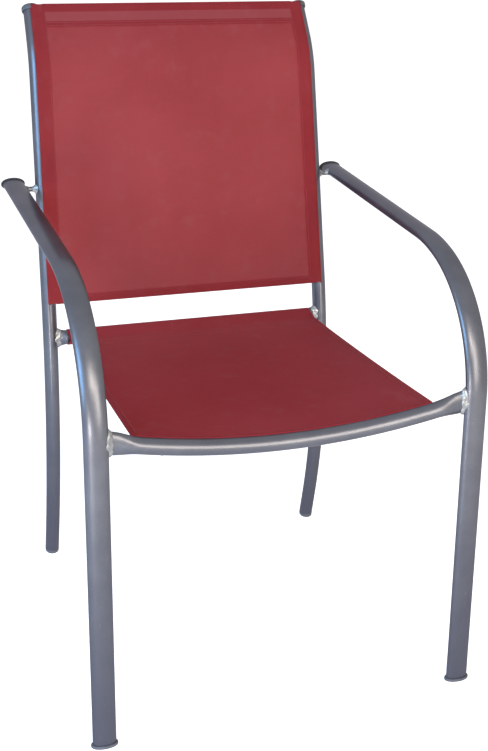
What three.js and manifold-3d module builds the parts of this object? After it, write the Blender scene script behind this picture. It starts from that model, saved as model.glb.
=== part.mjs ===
// Stacking sling patio chair, millimetres, +Z up.
// The front of the chair faces -Y, the origin is on the floor under the middle of the chair.
// Two bent oval tubes make the front legs and arms, two bent round tubes make the rear legs and
// the back, and cross tubes hold a back sling and a separate seat sling.
import * as THREE from "three";
import { mergeVertices } from "three/addons/utils/BufferGeometryUtils.js";
import { ConvexGeometry } from "three/addons/geometries/ConvexGeometry.js";
import Module from "manifold-3d";

const wasm = await Module();
wasm.setup();

// Fits
const gap = 0.3;
const tubeWall = 1.5;
const mergeReach = 0.00001;

// Front leg and arm, one oval tube a side
const frontFootY = -327.2;
const legWide = 32.8;
const legThick = 15.2;
const legStartZ = 4.8;
const legRun = 443.2;
const legBendRadius = 188.7;
const armShortRun = 6.4;
const armBendRadius = 200;
const armPastUpright = 27.6;
const legLeanDegrees = 4.07;
const legBendDegrees = 72.82;
const armBendDegrees = 11.64;
const ovalPowerShare = 2.4;

// Rear leg and back upright, one round tube a side
const rearFootY = 198.9;
const uprightFootHalfSpan = 232.8;
const uprightRadius = 11.4;
const rearLegRun = 50.9;
const rearBendRadius = 951.4;
const backRun = 331;
const topBendRadius = 156.4;
const topRun = 55;
const rearStartZ = 6.8;
const rearLegDegrees = -11.9;
const backDegrees = 13.28;
const topDegrees = 34.99;
const inwardRiseShare = 0.00982;
const inwardDepthShare = 0.03805;

// Front rail, round in the middle and pressed tall and narrow at its ends
const frontRailRadius = 11.3;
const frontRailEndZ = 437;
const frontRailDip = 30.4;
const frontRailSetBack = 5;
const frontRailBow = 3.5;
const frontRailFlare = 42;
const frontRailEndHalfThick = 6.4;
const frontRailEndHalfTall = 16.8;
const frontSlotDegrees = 21;
const frontSlotInset = 45.6;
const frontSlotInnerShare = 0.98;

// Rear rail, top rail and the two tubes under the seat
const rearRailZ = 396.2;
const rearRailRadius = 11.3;
const topRailRadius = 9.5;
const topRailBelowEnd = 19;
const seatTubeInset = 90.6;
const seatTubeRadius = 8;
const seatTubeFrontDrop = 4;
const seatTubeRearDrop = 12.5;
const seatTubeBow = 9;

// Bar that joins the arm to the upright
const armBarRadius = 3.9;
const armBarDrop = 2.4;
const armToUprightClear = 6;

// Slings, their edge cords and the slots they run in
const clothThick = 1.1;
const cordRadius = 2.4;
const cordInset = 5.7;
const hemWall = 0.8;
const slotWide = 2.8;
const backClothBottomZ = 451;
const slotBelowCloth = 6;
const cordBelowEnd = 13;
const sleeveDepth = 34;
const sleeveEndClear = 4.2;
const seatFrontLeftInset = 48;
const seatFrontRightInset = 61.6;
const seatRearLeftInset = 30.1;
const seatRearRightInset = 23.8;
const rearLoopReach = 31;
const seamRise = 6;
const notchHalfWide = 13;
const seatSag = 2;
const neckRiseShare = 1.4;
const layerShares = [0.25, 0.5, 0.75];
const tunnelGrowShare = 1.02;

// Places across the chair, all from the feet of the uprights
const armHalfSpan = uprightFootHalfSpan + uprightRadius + armToUprightClear + legWide / 2;
const frontSlotHalfLength = armHalfSpan - frontSlotInset;
const seatTubeX = armHalfSpan - seatTubeInset;
const seatFrontLeftX = seatFrontLeftInset - armHalfSpan;
const seatFrontRightX = armHalfSpan - seatFrontRightInset;
const seatRearLeftX = seatRearLeftInset - uprightFootHalfSpan;
const seatRearRightX = uprightFootHalfSpan - seatRearRightInset;

// Weld beads
const beadLeg = 4.2;
const beadLong = 5.4;
const beadTip = 0.9;
const barBeadLeg = 3.2;
const topBeadLeg = 1.5;
const topBeadRootShare = 0.75;
const beadShoulderShare = 0.8;
const beadTaperShare = 0.55;
const beadLumpShare = 0.13;
const beadLumpTurns = 0.382;
const beadRowTurns = 0.302;
const beadCrossTurns = 0.175;

// Caps
const footFlangeOut = 2.5;
const footRound = 1.3;
const rearFootRound = 5;
const plugDeep = 14;
const armCapOut = 2.2;
const armCapThick = 3.6;
const topCapOut = 2.3;
const topCapThick = 3.8;
const topCapSkirt = 7;
const topPlugDeep = 10;
const armCapShoulderShares = [0.6, 0];
const armCapEdgeShares = [0.9, 0.4];
const armCapFaceShares = [1, 1.3];
const topCapReachShares = [0.2, 0.6, 0.88, 1];
const topCapDomeShares = [0.93, 0.76, 0.5];

// Facets
const ovalSides = 20;
const roundSides = 18;
const barSides = 12;
const topSides = 16;
const cordSides = 8;
const hemFacets = 9;
const loopFacets = 9;
const sleeveFacets = 12;
const rearFootRows = 4;

const radians = (degrees) => (degrees * Math.PI) / 180;
const mix = (a, b, share) => a + (b - a) * share;

// Solids: closed surfaces handed to and from the boolean kernel

function solidFrom(geometry) {
  const bare = geometry.clone();
  bare.deleteAttribute("normal");
  bare.deleteAttribute("uv");
  const merged = mergeVertices(bare, mergeReach);
  const triVerts = new Uint32Array(merged.index.array);
  const vertProperties = merged.attributes.position.array;
  const made = new wasm.Manifold(new wasm.Mesh({ numProp: 3, vertProperties, triVerts }));
  if (made.volume() > 0) return made;
  for (let i = 0; i < triVerts.length; i += 3) {
    const first = triVerts[i];
    triVerts[i] = triVerts[i + 1];
    triVerts[i + 1] = first;
  }
  return new wasm.Manifold(new wasm.Mesh({ numProp: 3, vertProperties, triVerts }));
}

function geometryFrom(solid) {
  const made = solid.getMesh();
  const stride = made.numProp;
  const positions = new Float32Array(made.numVert * 3);
  for (let i = 0; i < made.numVert; i += 1) {
    positions[i * 3] = made.vertProperties[i * stride];
    positions[i * 3 + 1] = made.vertProperties[i * stride + 1];
    positions[i * 3 + 2] = made.vertProperties[i * stride + 2];
  }
  const geometry = new THREE.BufferGeometry();
  geometry.setAttribute("position", new THREE.BufferAttribute(positions, 3));
  geometry.setIndex(new THREE.BufferAttribute(new Uint32Array(made.triVerts), 1));
  const flat = geometry.toNonIndexed();
  flat.computeVertexNormals();
  return flat;
}

// A station is a place on a path with two directions, u and v, that span its cross-section.
function place(station, point) {
  return station.at
    .clone()
    .addScaledVector(station.u, point.x)
    .addScaledVector(station.v, point.y);
}

const wound = (loop, anticlockwise) =>
  THREE.ShapeUtils.area(loop) > 0 === anticlockwise ? loop : loop.slice().reverse();

// Skins a row of equal cross-sections, each an outline with holes, and closes both ends.
// Each face is split along its shorter diagonal, so the two skins of a twisted sheet stay parallel.
function loft(stations, sectionAt) {
  const sections = stations.map((station, i) => {
    const { outer, holes } = sectionAt(station, i);
    return { outer: wound(outer, true), holes: holes.map((loop) => wound(loop, false)) };
  });
  const loopSizes = [sections[0].outer, ...sections[0].holes].map((loop) => loop.length);
  const ringSize = loopSizes.reduce((sum, size) => sum + size, 0);
  const positions = [];
  stations.forEach((station, i) => {
    [sections[i].outer, ...sections[i].holes].flat().forEach((point) => {
      positions.push(...place(station, point).toArray());
    });
  });
  const index = [];
  const across = (a, b) => {
    const from = new THREE.Vector3().fromArray(positions, 3 * a);
    return from.distanceTo(new THREE.Vector3().fromArray(positions, 3 * b));
  };
  for (let i = 0; i + 1 < stations.length; i += 1) {
    let start = 0;
    loopSizes.forEach((size) => {
      for (let k = 0; k < size; k += 1) {
        const a = i * ringSize + start + k;
        const b = i * ringSize + start + ((k + 1) % size);
        const [c, d] = [a + ringSize, b + ringSize];
        index.push(...(across(a, d) > across(b, c) + gap ? [a, b, c, b, d, c] : [a, b, d, a, d, c]));
      }
      start += size;
    });
  }
  [0, stations.length - 1].forEach((i) => {
    const { outer, holes } = sections[i];
    const flat = [outer, ...holes].flat();
    THREE.ShapeUtils.triangulateShape(outer, holes).forEach(([a, b, c]) => {
      const turn = (flat[b].x - flat[a].x) * (flat[c].y - flat[a].y)
        - (flat[c].x - flat[a].x) * (flat[b].y - flat[a].y);
      const order = turn > 0 === (i > 0) ? [a, b, c] : [a, c, b];
      index.push(...order.map((k) => k + i * ringSize));
    });
  });
  const geometry = new THREE.BufferGeometry();
  geometry.setAttribute("position", new THREE.Float32BufferAttribute(positions, 3));
  geometry.setIndex(index);
  return solidFrom(geometry);
}

// Cross-sections

function oval(halfU, halfV, sides, power = 2) {
  return Array.from({ length: sides }, (_, k) => {
    const angle = ((k + 0.5) / sides) * 2 * Math.PI;
    const c = Math.cos(angle);
    const s = Math.sin(angle);
    const x = Math.sign(c) * Math.abs(c) ** (2 / power);
    const y = Math.sign(s) * Math.abs(s) ** (2 / power);
    return new THREE.Vector2(x * halfU, y * halfV);
  });
}
const circle = (radius, sides) => oval(radius, radius, sides);
const pipe = (radius, sides, wall) => () => ({
  outer: circle(radius, sides),
  holes: [circle(radius - wall, sides)],
});
const rod = (radius, sides) => () => ({ outer: circle(radius, sides), holes: [] });

// A path in a side view: straight runs and bends, headings measured from upright towards the rear
function trace(startY, startZ, startDegrees, moves) {
  const steps = [{ s: 0, y: startY, z: startZ, degrees: startDegrees }];
  moves.forEach(({ run, radius, degrees, facets }) => {
    const from = steps[steps.length - 1];
    if (run) {
      const heading = radians(from.degrees);
      const y = from.y + run * Math.sin(heading);
      const z = from.z + run * Math.cos(heading);
      steps.push({ s: from.s + run, y, z, degrees: from.degrees });
      return;
    }
    const turn = degrees - from.degrees;
    for (let k = 1; k <= facets; k += 1) {
      const reached = from.degrees + (turn * k) / facets;
      const a = radians(from.degrees);
      const b = radians(reached);
      steps.push({
        s: from.s + radius * Math.abs(b - a),
        y: from.y + radius * (Math.cos(a) - Math.cos(b)),
        z: from.z + radius * (Math.sin(b) - Math.sin(a)),
        degrees: reached,
      });
    }
  });
  return steps;
}

function stepAt(steps, s) {
  const k = Math.max(1, steps.findIndex((step) => step.s >= s));
  const a = steps[k - 1];
  const b = steps[k];
  const share = (s - a.s) / (b.s - a.s);
  return {
    s,
    y: mix(a.y, b.y, share),
    z: mix(a.z, b.z, share),
    degrees: mix(a.degrees, b.degrees, share),
  };
}

const cut = (steps, from, to) => [
  stepAt(steps, from),
  ...steps.filter((step) => step.s > from + gap && step.s < to - gap),
  stepAt(steps, to),
];

function reachOf(steps, z) {
  const k = steps.findIndex((step) => step.z >= z);
  const a = steps[k - 1];
  const b = steps[k];
  return mix(a.s, b.s, (z - a.z) / (b.z - a.z));
}

const sideStation = (step, x) => ({
  at: new THREE.Vector3(x, step.y, step.z),
  u: new THREE.Vector3(1, 0, 0),
  v: new THREE.Vector3(0, -Math.cos(radians(step.degrees)), Math.sin(radians(step.degrees))),
});

// The lowest cross-section of a leaning tube lies level, so its cap sits flat on the floor.
function levelled(station, step) {
  const lean = Math.tan(radians(step.degrees));
  return {
    at: station.at,
    u: station.u,
    v: new THREE.Vector3(0, -1 / Math.cos(Math.atan(lean)), 0),
  };
}

// Every piece is one named mesh
const chair = new THREE.Group();
chair.name = "sling_patio_chair";
const materials = {
  frame_paint: new THREE.MeshStandardMaterial({ color: 0x8b8a8d, roughness: 0.38, metalness: 0.75 }),
  weld_metal: new THREE.MeshStandardMaterial({ color: 0xa9a8aa, roughness: 0.5, metalness: 0.8 }),
  sling_cloth: new THREE.MeshStandardMaterial({ color: 0x8e2f3a, roughness: 0.8, metalness: 0 }),
  edge_cord: new THREE.MeshStandardMaterial({ color: 0xc9c6bf, roughness: 0.6, metalness: 0 }),
  black_plastic: new THREE.MeshStandardMaterial({ color: 0x2b2c2f, roughness: 0.55, metalness: 0 }),
  grey_plastic: new THREE.MeshStandardMaterial({ color: 0x77787b, roughness: 0.5, metalness: 0 }),
};

function addPiece(name, solid, material) {
  const mesh = new THREE.Mesh(geometryFrom(solid), materials[material]);
  mesh.name = name;
  chair.add(mesh);
}

const sides = [
  { name: "left", sign: -1 },
  { name: "right", sign: 1 },
];

// Side view of the tubes: the arm runs back to a set way past the upright
const uprightPath = trace(
  rearFootY - rearStartZ * Math.tan(radians(-rearLegDegrees)),
  rearStartZ,
  rearLegDegrees,
  [
    { run: rearLegRun - rearStartZ / Math.cos(radians(rearLegDegrees)) },
    { radius: rearBendRadius, degrees: backDegrees, facets: 8 },
    { run: backRun },
    { radius: topBendRadius, degrees: topDegrees, facets: 7 },
    { run: topRun },
  ],
);
const legTangent = Math.tan(radians(legLeanDegrees));
const armDegrees = legLeanDegrees + legBendDegrees + armBendDegrees;
const legPath = trace(frontFootY + legStartZ * legTangent, legStartZ, legLeanDegrees, [
  { run: legRun - legStartZ },
  { radius: legBendRadius, degrees: legLeanDegrees + legBendDegrees, facets: 14 },
  { run: armShortRun },
  { radius: armBendRadius, degrees: armDegrees, facets: 4 },
]);
const armStart = legPath[legPath.length - 1];
const armRearY = stepAt(uprightPath, reachOf(uprightPath, armStart.z)).y + armPastUpright;
const armRun = (armRearY - armStart.y) / Math.sin(radians(armDegrees));
legPath.push({
  s: armStart.s + armRun,
  y: armStart.y + armRun * Math.sin(radians(armDegrees)),
  z: armStart.z + armRun * Math.cos(radians(armDegrees)),
  degrees: armDegrees,
});
const legSection = (grow) => oval(legWide / 2 + grow, legThick / 2 + grow, ovalSides, ovalPowerShare);

function legStations(sign) {
  const stations = legPath.map((step) => sideStation(step, sign * armHalfSpan));
  stations[0] = levelled(stations[0], legPath[0]);
  return stations;
}
const legBody = {};
sides.forEach(({ name, sign }) => {
  const stations = legStations(sign);
  legBody[name] = loft(stations, () => ({ outer: legSection(gap), holes: [] }));
  const tube = loft(stations, () => ({
    outer: legSection(0),
    holes: [legSection(-tubeWall)],
  }));
  addPiece(`${name}_front_leg_and_arm`, tube, "frame_paint");
});

// Rear legs and back uprights, with the slot for the back sling cut along the front
const uprightEnd = uprightPath[uprightPath.length - 1].s;
const clothStart = reachOf(uprightPath, backClothBottomZ);
const spanAt = (step) =>
  uprightFootHalfSpan - step.z * inwardRiseShare - (step.y - rearFootY) * inwardDepthShare;
const uprightStation = (sign) => (step) => sideStation(step, sign * spanAt(step));
const ribbon = (halfWide, from, to) => () => ({
  outer: [
    new THREE.Vector2(-halfWide, from),
    new THREE.Vector2(halfWide, from),
    new THREE.Vector2(halfWide, to),
    new THREE.Vector2(-halfWide, to),
  ],
  holes: [],
});

const uprightBody = {};
sides.forEach(({ name, sign }) => {
  const stations = uprightPath.map(uprightStation(sign));
  stations[0] = levelled(stations[0], uprightPath[0]);
  uprightBody[name] = loft(stations, rod(uprightRadius + gap, roundSides));
  const tube = loft(stations, pipe(uprightRadius, roundSides, tubeWall));
  const slotSteps = cut(uprightPath, clothStart - slotBelowCloth, uprightEnd);
  const last = slotSteps[slotSteps.length - 1];
  const heading = radians(last.degrees);
  slotSteps.push({
    ...last,
    y: last.y + slotWide * Math.sin(heading),
    z: last.z + slotWide * Math.cos(heading),
  });
  const slotFloor = uprightRadius - 2 * tubeWall;
  const slot = loft(
    slotSteps.map(uprightStation(sign)),
    ribbon(slotWide / 2, slotFloor, uprightRadius + tubeWall),
  );
  addPiece(`${name}_rear_leg_and_upright`, tube.subtract(slot), "frame_paint");
});

// Front rail: dips towards its middle, ends pressed narrow and notched round the front legs
const legStep = stepAt(legPath, reachOf(legPath, frontRailEndZ));
const frontRailY = legStep.y + frontRailSetBack;
const frontRailReach = armHalfSpan - legWide / 2;
const railShares = [1.02, 0.98, 0.94, 0.9, 0.85, 0.66, 0.48, 0.3, 0.15];
const railPlaces = [...railShares.map((share) => -share), 0, ...railShares.slice().reverse()];

function frontRailAt(x) {
  const share = x / frontRailReach;
  const z = frontRailEndZ - frontRailDip * (1 - share * share);
  const y = frontRailY + frontRailBow * (1 - share * share);
  const rise = (2 * frontRailDip * share) / frontRailReach;
  const v = new THREE.Vector3(-rise, 0, 1).normalize();
  return { at: new THREE.Vector3(x, y, z), u: new THREE.Vector3(0, 1, 0), v };
}

function frontRailHalves(x) {
  const into = Math.abs(x) - (frontRailReach - frontRailFlare);
  const share = THREE.MathUtils.smoothstep(into, 0, frontRailFlare);
  return [
    mix(frontRailRadius, frontRailEndHalfThick, share),
    mix(frontRailRadius, frontRailEndHalfTall, share),
  ];
}

function frontRailLoop(x, grow) {
  const [halfThick, halfTall] = frontRailHalves(x);
  return oval(halfThick + grow, halfTall + grow, roundSides);
}
const slotTurn = radians(frontSlotDegrees);
const slotOut = new THREE.Vector2(Math.sin(slotTurn), Math.cos(slotTurn));
const slotAlong = new THREE.Vector2(Math.cos(slotTurn), -Math.sin(slotTurn));
const slotPoint = (out, along) =>
  slotOut.clone().multiplyScalar(out).addScaledVector(slotAlong, along);

const frontRailStations = railPlaces.map((share) => frontRailAt(share * frontRailReach));
const railTube = loft(frontRailStations, (station) => ({
  outer: frontRailLoop(station.at.x, 0),
  holes: [frontRailLoop(station.at.x, -tubeWall)],
}));
const frontRailBody = loft(frontRailStations, (station) => ({
  outer: frontRailLoop(station.at.x, gap),
  holes: [],
}));
const slotEnds = [-1, 1];
const slotShares = [
  slotEnds[0],
  ...railPlaces
    .map((share) => (share * frontRailReach) / frontSlotHalfLength)
    .filter((share) => Math.abs(share) < frontSlotInnerShare),
  slotEnds[1],
];
const railSlot = loft(
  slotShares.map((share) => frontRailAt(share * frontSlotHalfLength)),
  () => ({
    outer: [
      slotPoint(frontRailRadius - 2 * tubeWall, -slotWide / 2),
      slotPoint(frontRailRadius + tubeWall, -slotWide / 2),
      slotPoint(frontRailRadius + tubeWall, slotWide / 2),
      slotPoint(frontRailRadius - 2 * tubeWall, slotWide / 2),
    ],
    holes: [],
  }),
);
addPiece(
  "front_rail",
  railTube.subtract(railSlot).subtract(legBody.left).subtract(legBody.right),
  "frame_paint",
);

// Rear rail and top rail: straight tubes notched round the uprights
const acrossStation = (x, y, z) => ({
  at: new THREE.Vector3(x, y, z),
  u: new THREE.Vector3(0, 1, 0),
  v: new THREE.Vector3(0, 0, 1),
});
const rearStep = stepAt(uprightPath, reachOf(uprightPath, rearRailZ));
const rearRailEnds = [-spanAt(rearStep), spanAt(rearStep)];
const rearRailY = rearStep.y;
const rearStations = rearRailEnds.map((x) => acrossStation(x, rearRailY, rearRailZ));
addPiece(
  "rear_rail",
  loft(rearStations, pipe(rearRailRadius, roundSides, tubeWall))
    .subtract(uprightBody.left)
    .subtract(uprightBody.right),
  "frame_paint",
);
const rearRailBody = loft(rearStations, rod(rearRailRadius + gap, roundSides));

const topStep = stepAt(uprightPath, uprightEnd - topRailBelowEnd);
const topRailEnds = [-spanAt(topStep), spanAt(topStep)];
const topStations = topRailEnds.map((x) => acrossStation(x, topStep.y, topStep.z));
addPiece(
  "top_rail",
  loft(topStations, pipe(topRailRadius, topSides, tubeWall))
    .subtract(uprightBody.left)
    .subtract(uprightBody.right),
  "frame_paint",
);

// Two tubes under the seat sling, from the back of the front rail to the underside of the rear rail
const seatTubeFrontY = frontRailAt(seatTubeX).at.y;
const seatTubeFrontZ = frontRailAt(seatTubeX).at.z - seatTubeFrontDrop;
const seatTubeRearZ = rearRailZ - seatTubeRearDrop;
const seatTubeShares = [0, 0.15, 0.32, 0.5, 0.68, 0.85, 1];

function seatTubeStation(sign, share) {
  const fall = seatTubeRearZ - seatTubeFrontZ;
  const long = rearRailY - seatTubeFrontY;
  const sag = 4 * share * (1 - share) * seatTubeBow;
  const slope = (fall - 4 * (1 - 2 * share) * seatTubeBow) / long;
  return {
    at: new THREE.Vector3(
      sign * seatTubeX,
      mix(seatTubeFrontY, rearRailY, share),
      mix(seatTubeFrontZ, seatTubeRearZ, share) - sag,
    ),
    u: new THREE.Vector3(1, 0, 0),
    v: new THREE.Vector3(0, -slope, 1).normalize(),
  };
}
sides.forEach(({ name, sign }) => {
  const stations = seatTubeShares.map((share) => seatTubeStation(sign, share));
  addPiece(
    `${name}_seat_tube`,
    loft(stations, pipe(seatTubeRadius, barSides, tubeWall))
      .subtract(frontRailBody)
      .subtract(rearRailBody),
    "frame_paint",
  );
});

// Bars between the arms and the uprights
const armBarZ = legPath[legPath.length - 1].z - armBarDrop;
const barStep = stepAt(uprightPath, reachOf(uprightPath, armBarZ));
const barY = barStep.y;
sides.forEach(({ name, sign }) => {
  const ends = [sign * spanAt(barStep), sign * armHalfSpan];
  const bar = loft(ends.map((x) => acrossStation(x, barY, armBarZ)), rod(armBarRadius, barSides));
  addPiece(
    `${name}_arm_bar`,
    bar.subtract(uprightBody[name]).subtract(legBody[name]),
    "frame_paint",
  );
});

// Weld beads: a lumpy collar round the end of a tube, cut to the face it is welded to
function lump(k, row) {
  const along = 2 * Math.PI * (k * beadLumpTurns + row * beadRowTurns);
  const across = 2 * Math.PI * k * beadCrossTurns - row;
  return 1 + beadLumpShare * Math.sin(along) * Math.cos(across);
}

function bead(stationAt, loopAt, reaches, outs, against) {
  const stations = reaches.map((reach) => stationAt(reach));
  return loft(stations, (station, row) => {
    const inner = loopAt(station, gap);
    const outer = loopAt(station, outs[row]);
    return {
      outer: outer.map((point, k) => {
        const core = inner[k];
        return core.clone().add(point.clone().sub(core).multiplyScalar(lump(k, row)));
      }),
      holes: [inner],
    };
  }).subtract(against);
}
const beadOuts = (leg) => [leg, leg, mix(leg, beadTip, beadTaperShare), beadTip];

sides.forEach(({ name, sign }) => {
  const legFace = armHalfSpan - legWide / 2;
  addPiece(
    `${name}_front_rail_weld`,
    bead(
      (reach) => frontRailAt(sign * (legFace - reach)),
      (station, grow) => {
        const [halfThick, halfTall] = frontRailHalves(station.at.x);
        return oval(halfThick + grow, halfTall + grow, roundSides);
      },
      [-legThick / 3, 0, beadLong / 2, beadLong],
      beadOuts(beadLeg),
      legBody[name],
    ),
    "weld_metal",
  );
  const rearFace = spanAt(rearStep) - uprightRadius;
  addPiece(
    `${name}_rear_rail_weld`,
    bead(
      (reach) => acrossStation(sign * (rearFace - reach), rearRailY, rearRailZ),
      (station, grow) => circle(rearRailRadius + grow, roundSides),
      [-uprightRadius, 0, beadLong / 2, beadLong],
      beadOuts(beadLeg),
      uprightBody[name],
    ),
    "weld_metal",
  );
  const topFace = spanAt(topStep) - uprightRadius;
  addPiece(
    `${name}_top_rail_weld`,
    bead(
      (reach) => acrossStation(sign * (topFace - reach), topStep.y, topStep.z),
      (station, grow) => circle(topRailRadius + grow, topSides),
      [-uprightRadius * topBeadRootShare, barBeadLeg / 2, barBeadLeg],
      [topBeadLeg, topBeadLeg, beadTip],
      uprightBody[name],
    ),
    "weld_metal",
  );
  const barFace = spanAt(barStep) + uprightRadius;
  addPiece(
    `${name}_arm_bar_upright_weld`,
    bead(
      (reach) => acrossStation(sign * (barFace + reach), barY, armBarZ),
      (station, grow) => circle(armBarRadius + grow, barSides),
      [-uprightRadius / 3, barBeadLeg / 4, barBeadLeg],
      [barBeadLeg, barBeadLeg * beadShoulderShare, beadTip],
      uprightBody[name],
    ),
    "weld_metal",
  );
  addPiece(
    `${name}_arm_bar_arm_weld`,
    bead(
      (reach) => acrossStation(sign * (legFace - reach), barY, armBarZ),
      (station, grow) => circle(armBarRadius + grow, barSides),
      [-legThick / 3, barBeadLeg / 4, barBeadLeg],
      [barBeadLeg, barBeadLeg * beadShoulderShare, beadTip],
      legBody[name],
    ),
    "weld_metal",
  );
  const tubeLong = rearRailY - seatTubeFrontY;
  addPiece(
    `${name}_seat_tube_front_weld`,
    bead(
      (reach) => seatTubeStation(sign, (frontRailRadius + reach) / tubeLong),
      (station, grow) => circle(seatTubeRadius + grow, barSides),
      [-frontRailRadius / 2, barBeadLeg / 4, barBeadLeg],
      [barBeadLeg, barBeadLeg * beadShoulderShare, beadTip],
      frontRailBody,
    ),
    "weld_metal",
  );
  addPiece(
    `${name}_seat_tube_rear_weld`,
    bead(
      (reach) => seatTubeStation(sign, 1 - (rearRailRadius + reach) / tubeLong),
      (station, grow) => circle(seatTubeRadius + grow, barSides),
      [-rearRailRadius / 2, barBeadLeg / 4, barBeadLeg],
      [barBeadLeg, barBeadLeg * beadShoulderShare, beadTip],
      rearRailBody,
    ),
    "weld_metal",
  );
});

// Front foot caps: an oval foot with a rim wider than the tube and a plug up the tube
const floorStation = (x, y, z) => ({
  at: new THREE.Vector3(x, y, z),
  u: new THREE.Vector3(1, 0, 0),
  v: new THREE.Vector3(0, -1, 0),
});
sides.forEach(({ name, sign }) => {
  const top = legStartZ - gap;
  const rows = [
    { z: 0, grow: footFlangeOut - footRound },
    { z: footRound / 3, grow: footFlangeOut - footRound / 3 },
    { z: footRound, grow: footFlangeOut },
    { z: top - footRound, grow: footFlangeOut },
    { z: top, grow: footFlangeOut - footRound },
    { z: top, grow: -tubeWall - gap },
    { z: top + plugDeep, grow: -tubeWall - gap },
  ];
  const stations = rows.map(({ z }) => {
    const y = frontFootY + legTangent * Math.max(z, legStartZ);
    return floorStation(sign * armHalfSpan, y, z);
  });
  const cap = loft(stations, (station, i) => ({ outer: legSection(rows[i].grow), holes: [] }));
  addPiece(`${name}_front_foot_cap`, cap, "grey_plastic");
});

// Rear foot plugs: as wide as the tube, well rounded down to a small flat that meets the floor
sides.forEach(({ name, sign }) => {
  const top = rearStartZ - gap;
  const rounding = Array.from({ length: rearFootRows }, (_, k) => (k * Math.PI) / 2 / (rearFootRows - 1));
  const rows = [
    ...rounding.map((angle) => ({
      z: rearFootRound * (1 - Math.cos(angle)),
      radius: uprightRadius - rearFootRound * (1 - Math.sin(angle)),
    })),
    { z: top, radius: uprightRadius },
    { z: top, radius: uprightRadius - tubeWall - gap },
    { z: top + plugDeep, radius: uprightRadius - tubeWall - gap },
  ];
  const lean = Math.tan(radians(rearLegDegrees));
  const stations = rows.map(({ z }) => {
    const y = rearFootY + lean * Math.max(z, rearStartZ);
    const x = uprightFootHalfSpan - z * inwardRiseShare - (y - rearFootY) * inwardDepthShare;
    return floorStation(sign * x, y, z);
  });
  const plug = loft(stations, (station, i) => rod(rows[i].radius, roundSides)());
  addPiece(`${name}_rear_foot_plug`, plug, "grey_plastic");
});

// Caps on the open rear ends of the arms
function beyond(step, reach) {
  const heading = radians(step.degrees);
  return {
    ...step,
    y: step.y + reach * Math.sin(heading),
    z: step.z + reach * Math.cos(heading),
  };
}
sides.forEach(({ name, sign }) => {
  const end = legPath[legPath.length - 1];
  const rows = [
    { reach: -plugDeep, grow: -tubeWall - gap },
    { reach: gap, grow: -tubeWall - gap },
    { reach: gap, grow: armCapOut },
    ...[armCapShoulderShares, armCapEdgeShares, armCapFaceShares].map(([out, inset]) => ({
      reach: armCapThick * out,
      grow: inset > 0 ? -armCapThick * inset : armCapOut,
    })),
  ];
  const stations = rows.map(({ reach }) => sideStation(beyond(end, reach), sign * armHalfSpan));
  const cap = loft(stations, (station, i) => ({ outer: legSection(rows[i].grow), holes: [] }));
  addPiece(`${name}_arm_end_cap`, cap, "black_plastic");
});
// Edge of a sling: a hem loop round a cord, joined to the cloth by a neck through a slot
const hemRadius = cordRadius + gap + hemWall;
const hemTurn = Math.asin(hemWall / hemRadius);

function hemLoop(centreX, centreY) {
  return Array.from({ length: hemFacets + 1 }, (_, k) => {
    const swept = 2 * Math.PI - 2 * hemTurn;
    const angle = Math.PI / 2 + hemTurn + (swept * k) / hemFacets;
    return new THREE.Vector2(
      centreX + hemRadius * Math.cos(angle),
      centreY + hemRadius * Math.sin(angle),
    );
  });
}

function shifted(loop, x, y) {
  return loop.map((point) => new THREE.Vector2(point.x + x, point.y + y));
}

// Back sling: taut between the two slots, lying just in front of the uprights
const backLow = uprightRadius + gap;
const backHigh = backLow + clothThick;
const cordOut = uprightRadius - cordInset;

function backSection(station) {
  const half = Math.abs(station.at.x);
  const fold = [
    new THREE.Vector2(hemWall, backLow),
    new THREE.Vector2(hemWall + gap, mix(backLow, backHigh, 0.5)),
    new THREE.Vector2(hemWall, backHigh),
  ];
  const left = fold.map((point) => new THREE.Vector2(-half - point.x, point.y)).reverse();
  const right = fold.map((point) => new THREE.Vector2(half + point.x, point.y));
  const loop = [
    ...left,
    ...hemLoop(-half, cordOut),
    new THREE.Vector2(-half + hemWall, backLow),
    new THREE.Vector2(half - hemWall, backLow),
    ...hemLoop(half, cordOut),
    ...right,
  ];
  const cordHole = circle(cordRadius + gap, cordSides);
  return { outer: loop, holes: [shifted(cordHole, -half, cordOut), shifted(cordHole, half, cordOut)] };
}

function middleStation(step) {
  const station = sideStation(step, spanAt(step));
  const half = station.at.x;
  return { ...station, at: new THREE.Vector3(0, station.at.y, station.at.z), half };
}
const backSheet = loft(cut(uprightPath, clothStart, uprightEnd).map(middleStation), (station) =>
  backSection({ at: new THREE.Vector3(station.half, 0, 0) }),
);

// The hem loops stop short of the top cap, and above that only the flat cloth goes on.
const topEnd = uprightPath[uprightPath.length - 1];
const hemStops = sides.map(({ sign }) => {
  const ends = [-cordBelowEnd, topCapThick].map((reach) => uprightStation(sign)(beyond(topEnd, reach)));
  return loft(ends, ribbon(2 * hemRadius, -hemRadius, backLow - gap));
});

// The sleeve at the top of the back sling goes over the top rail and down behind it.
const sleeveHalf = spanAt(topEnd) - uprightRadius - sleeveEndClear;

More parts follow.
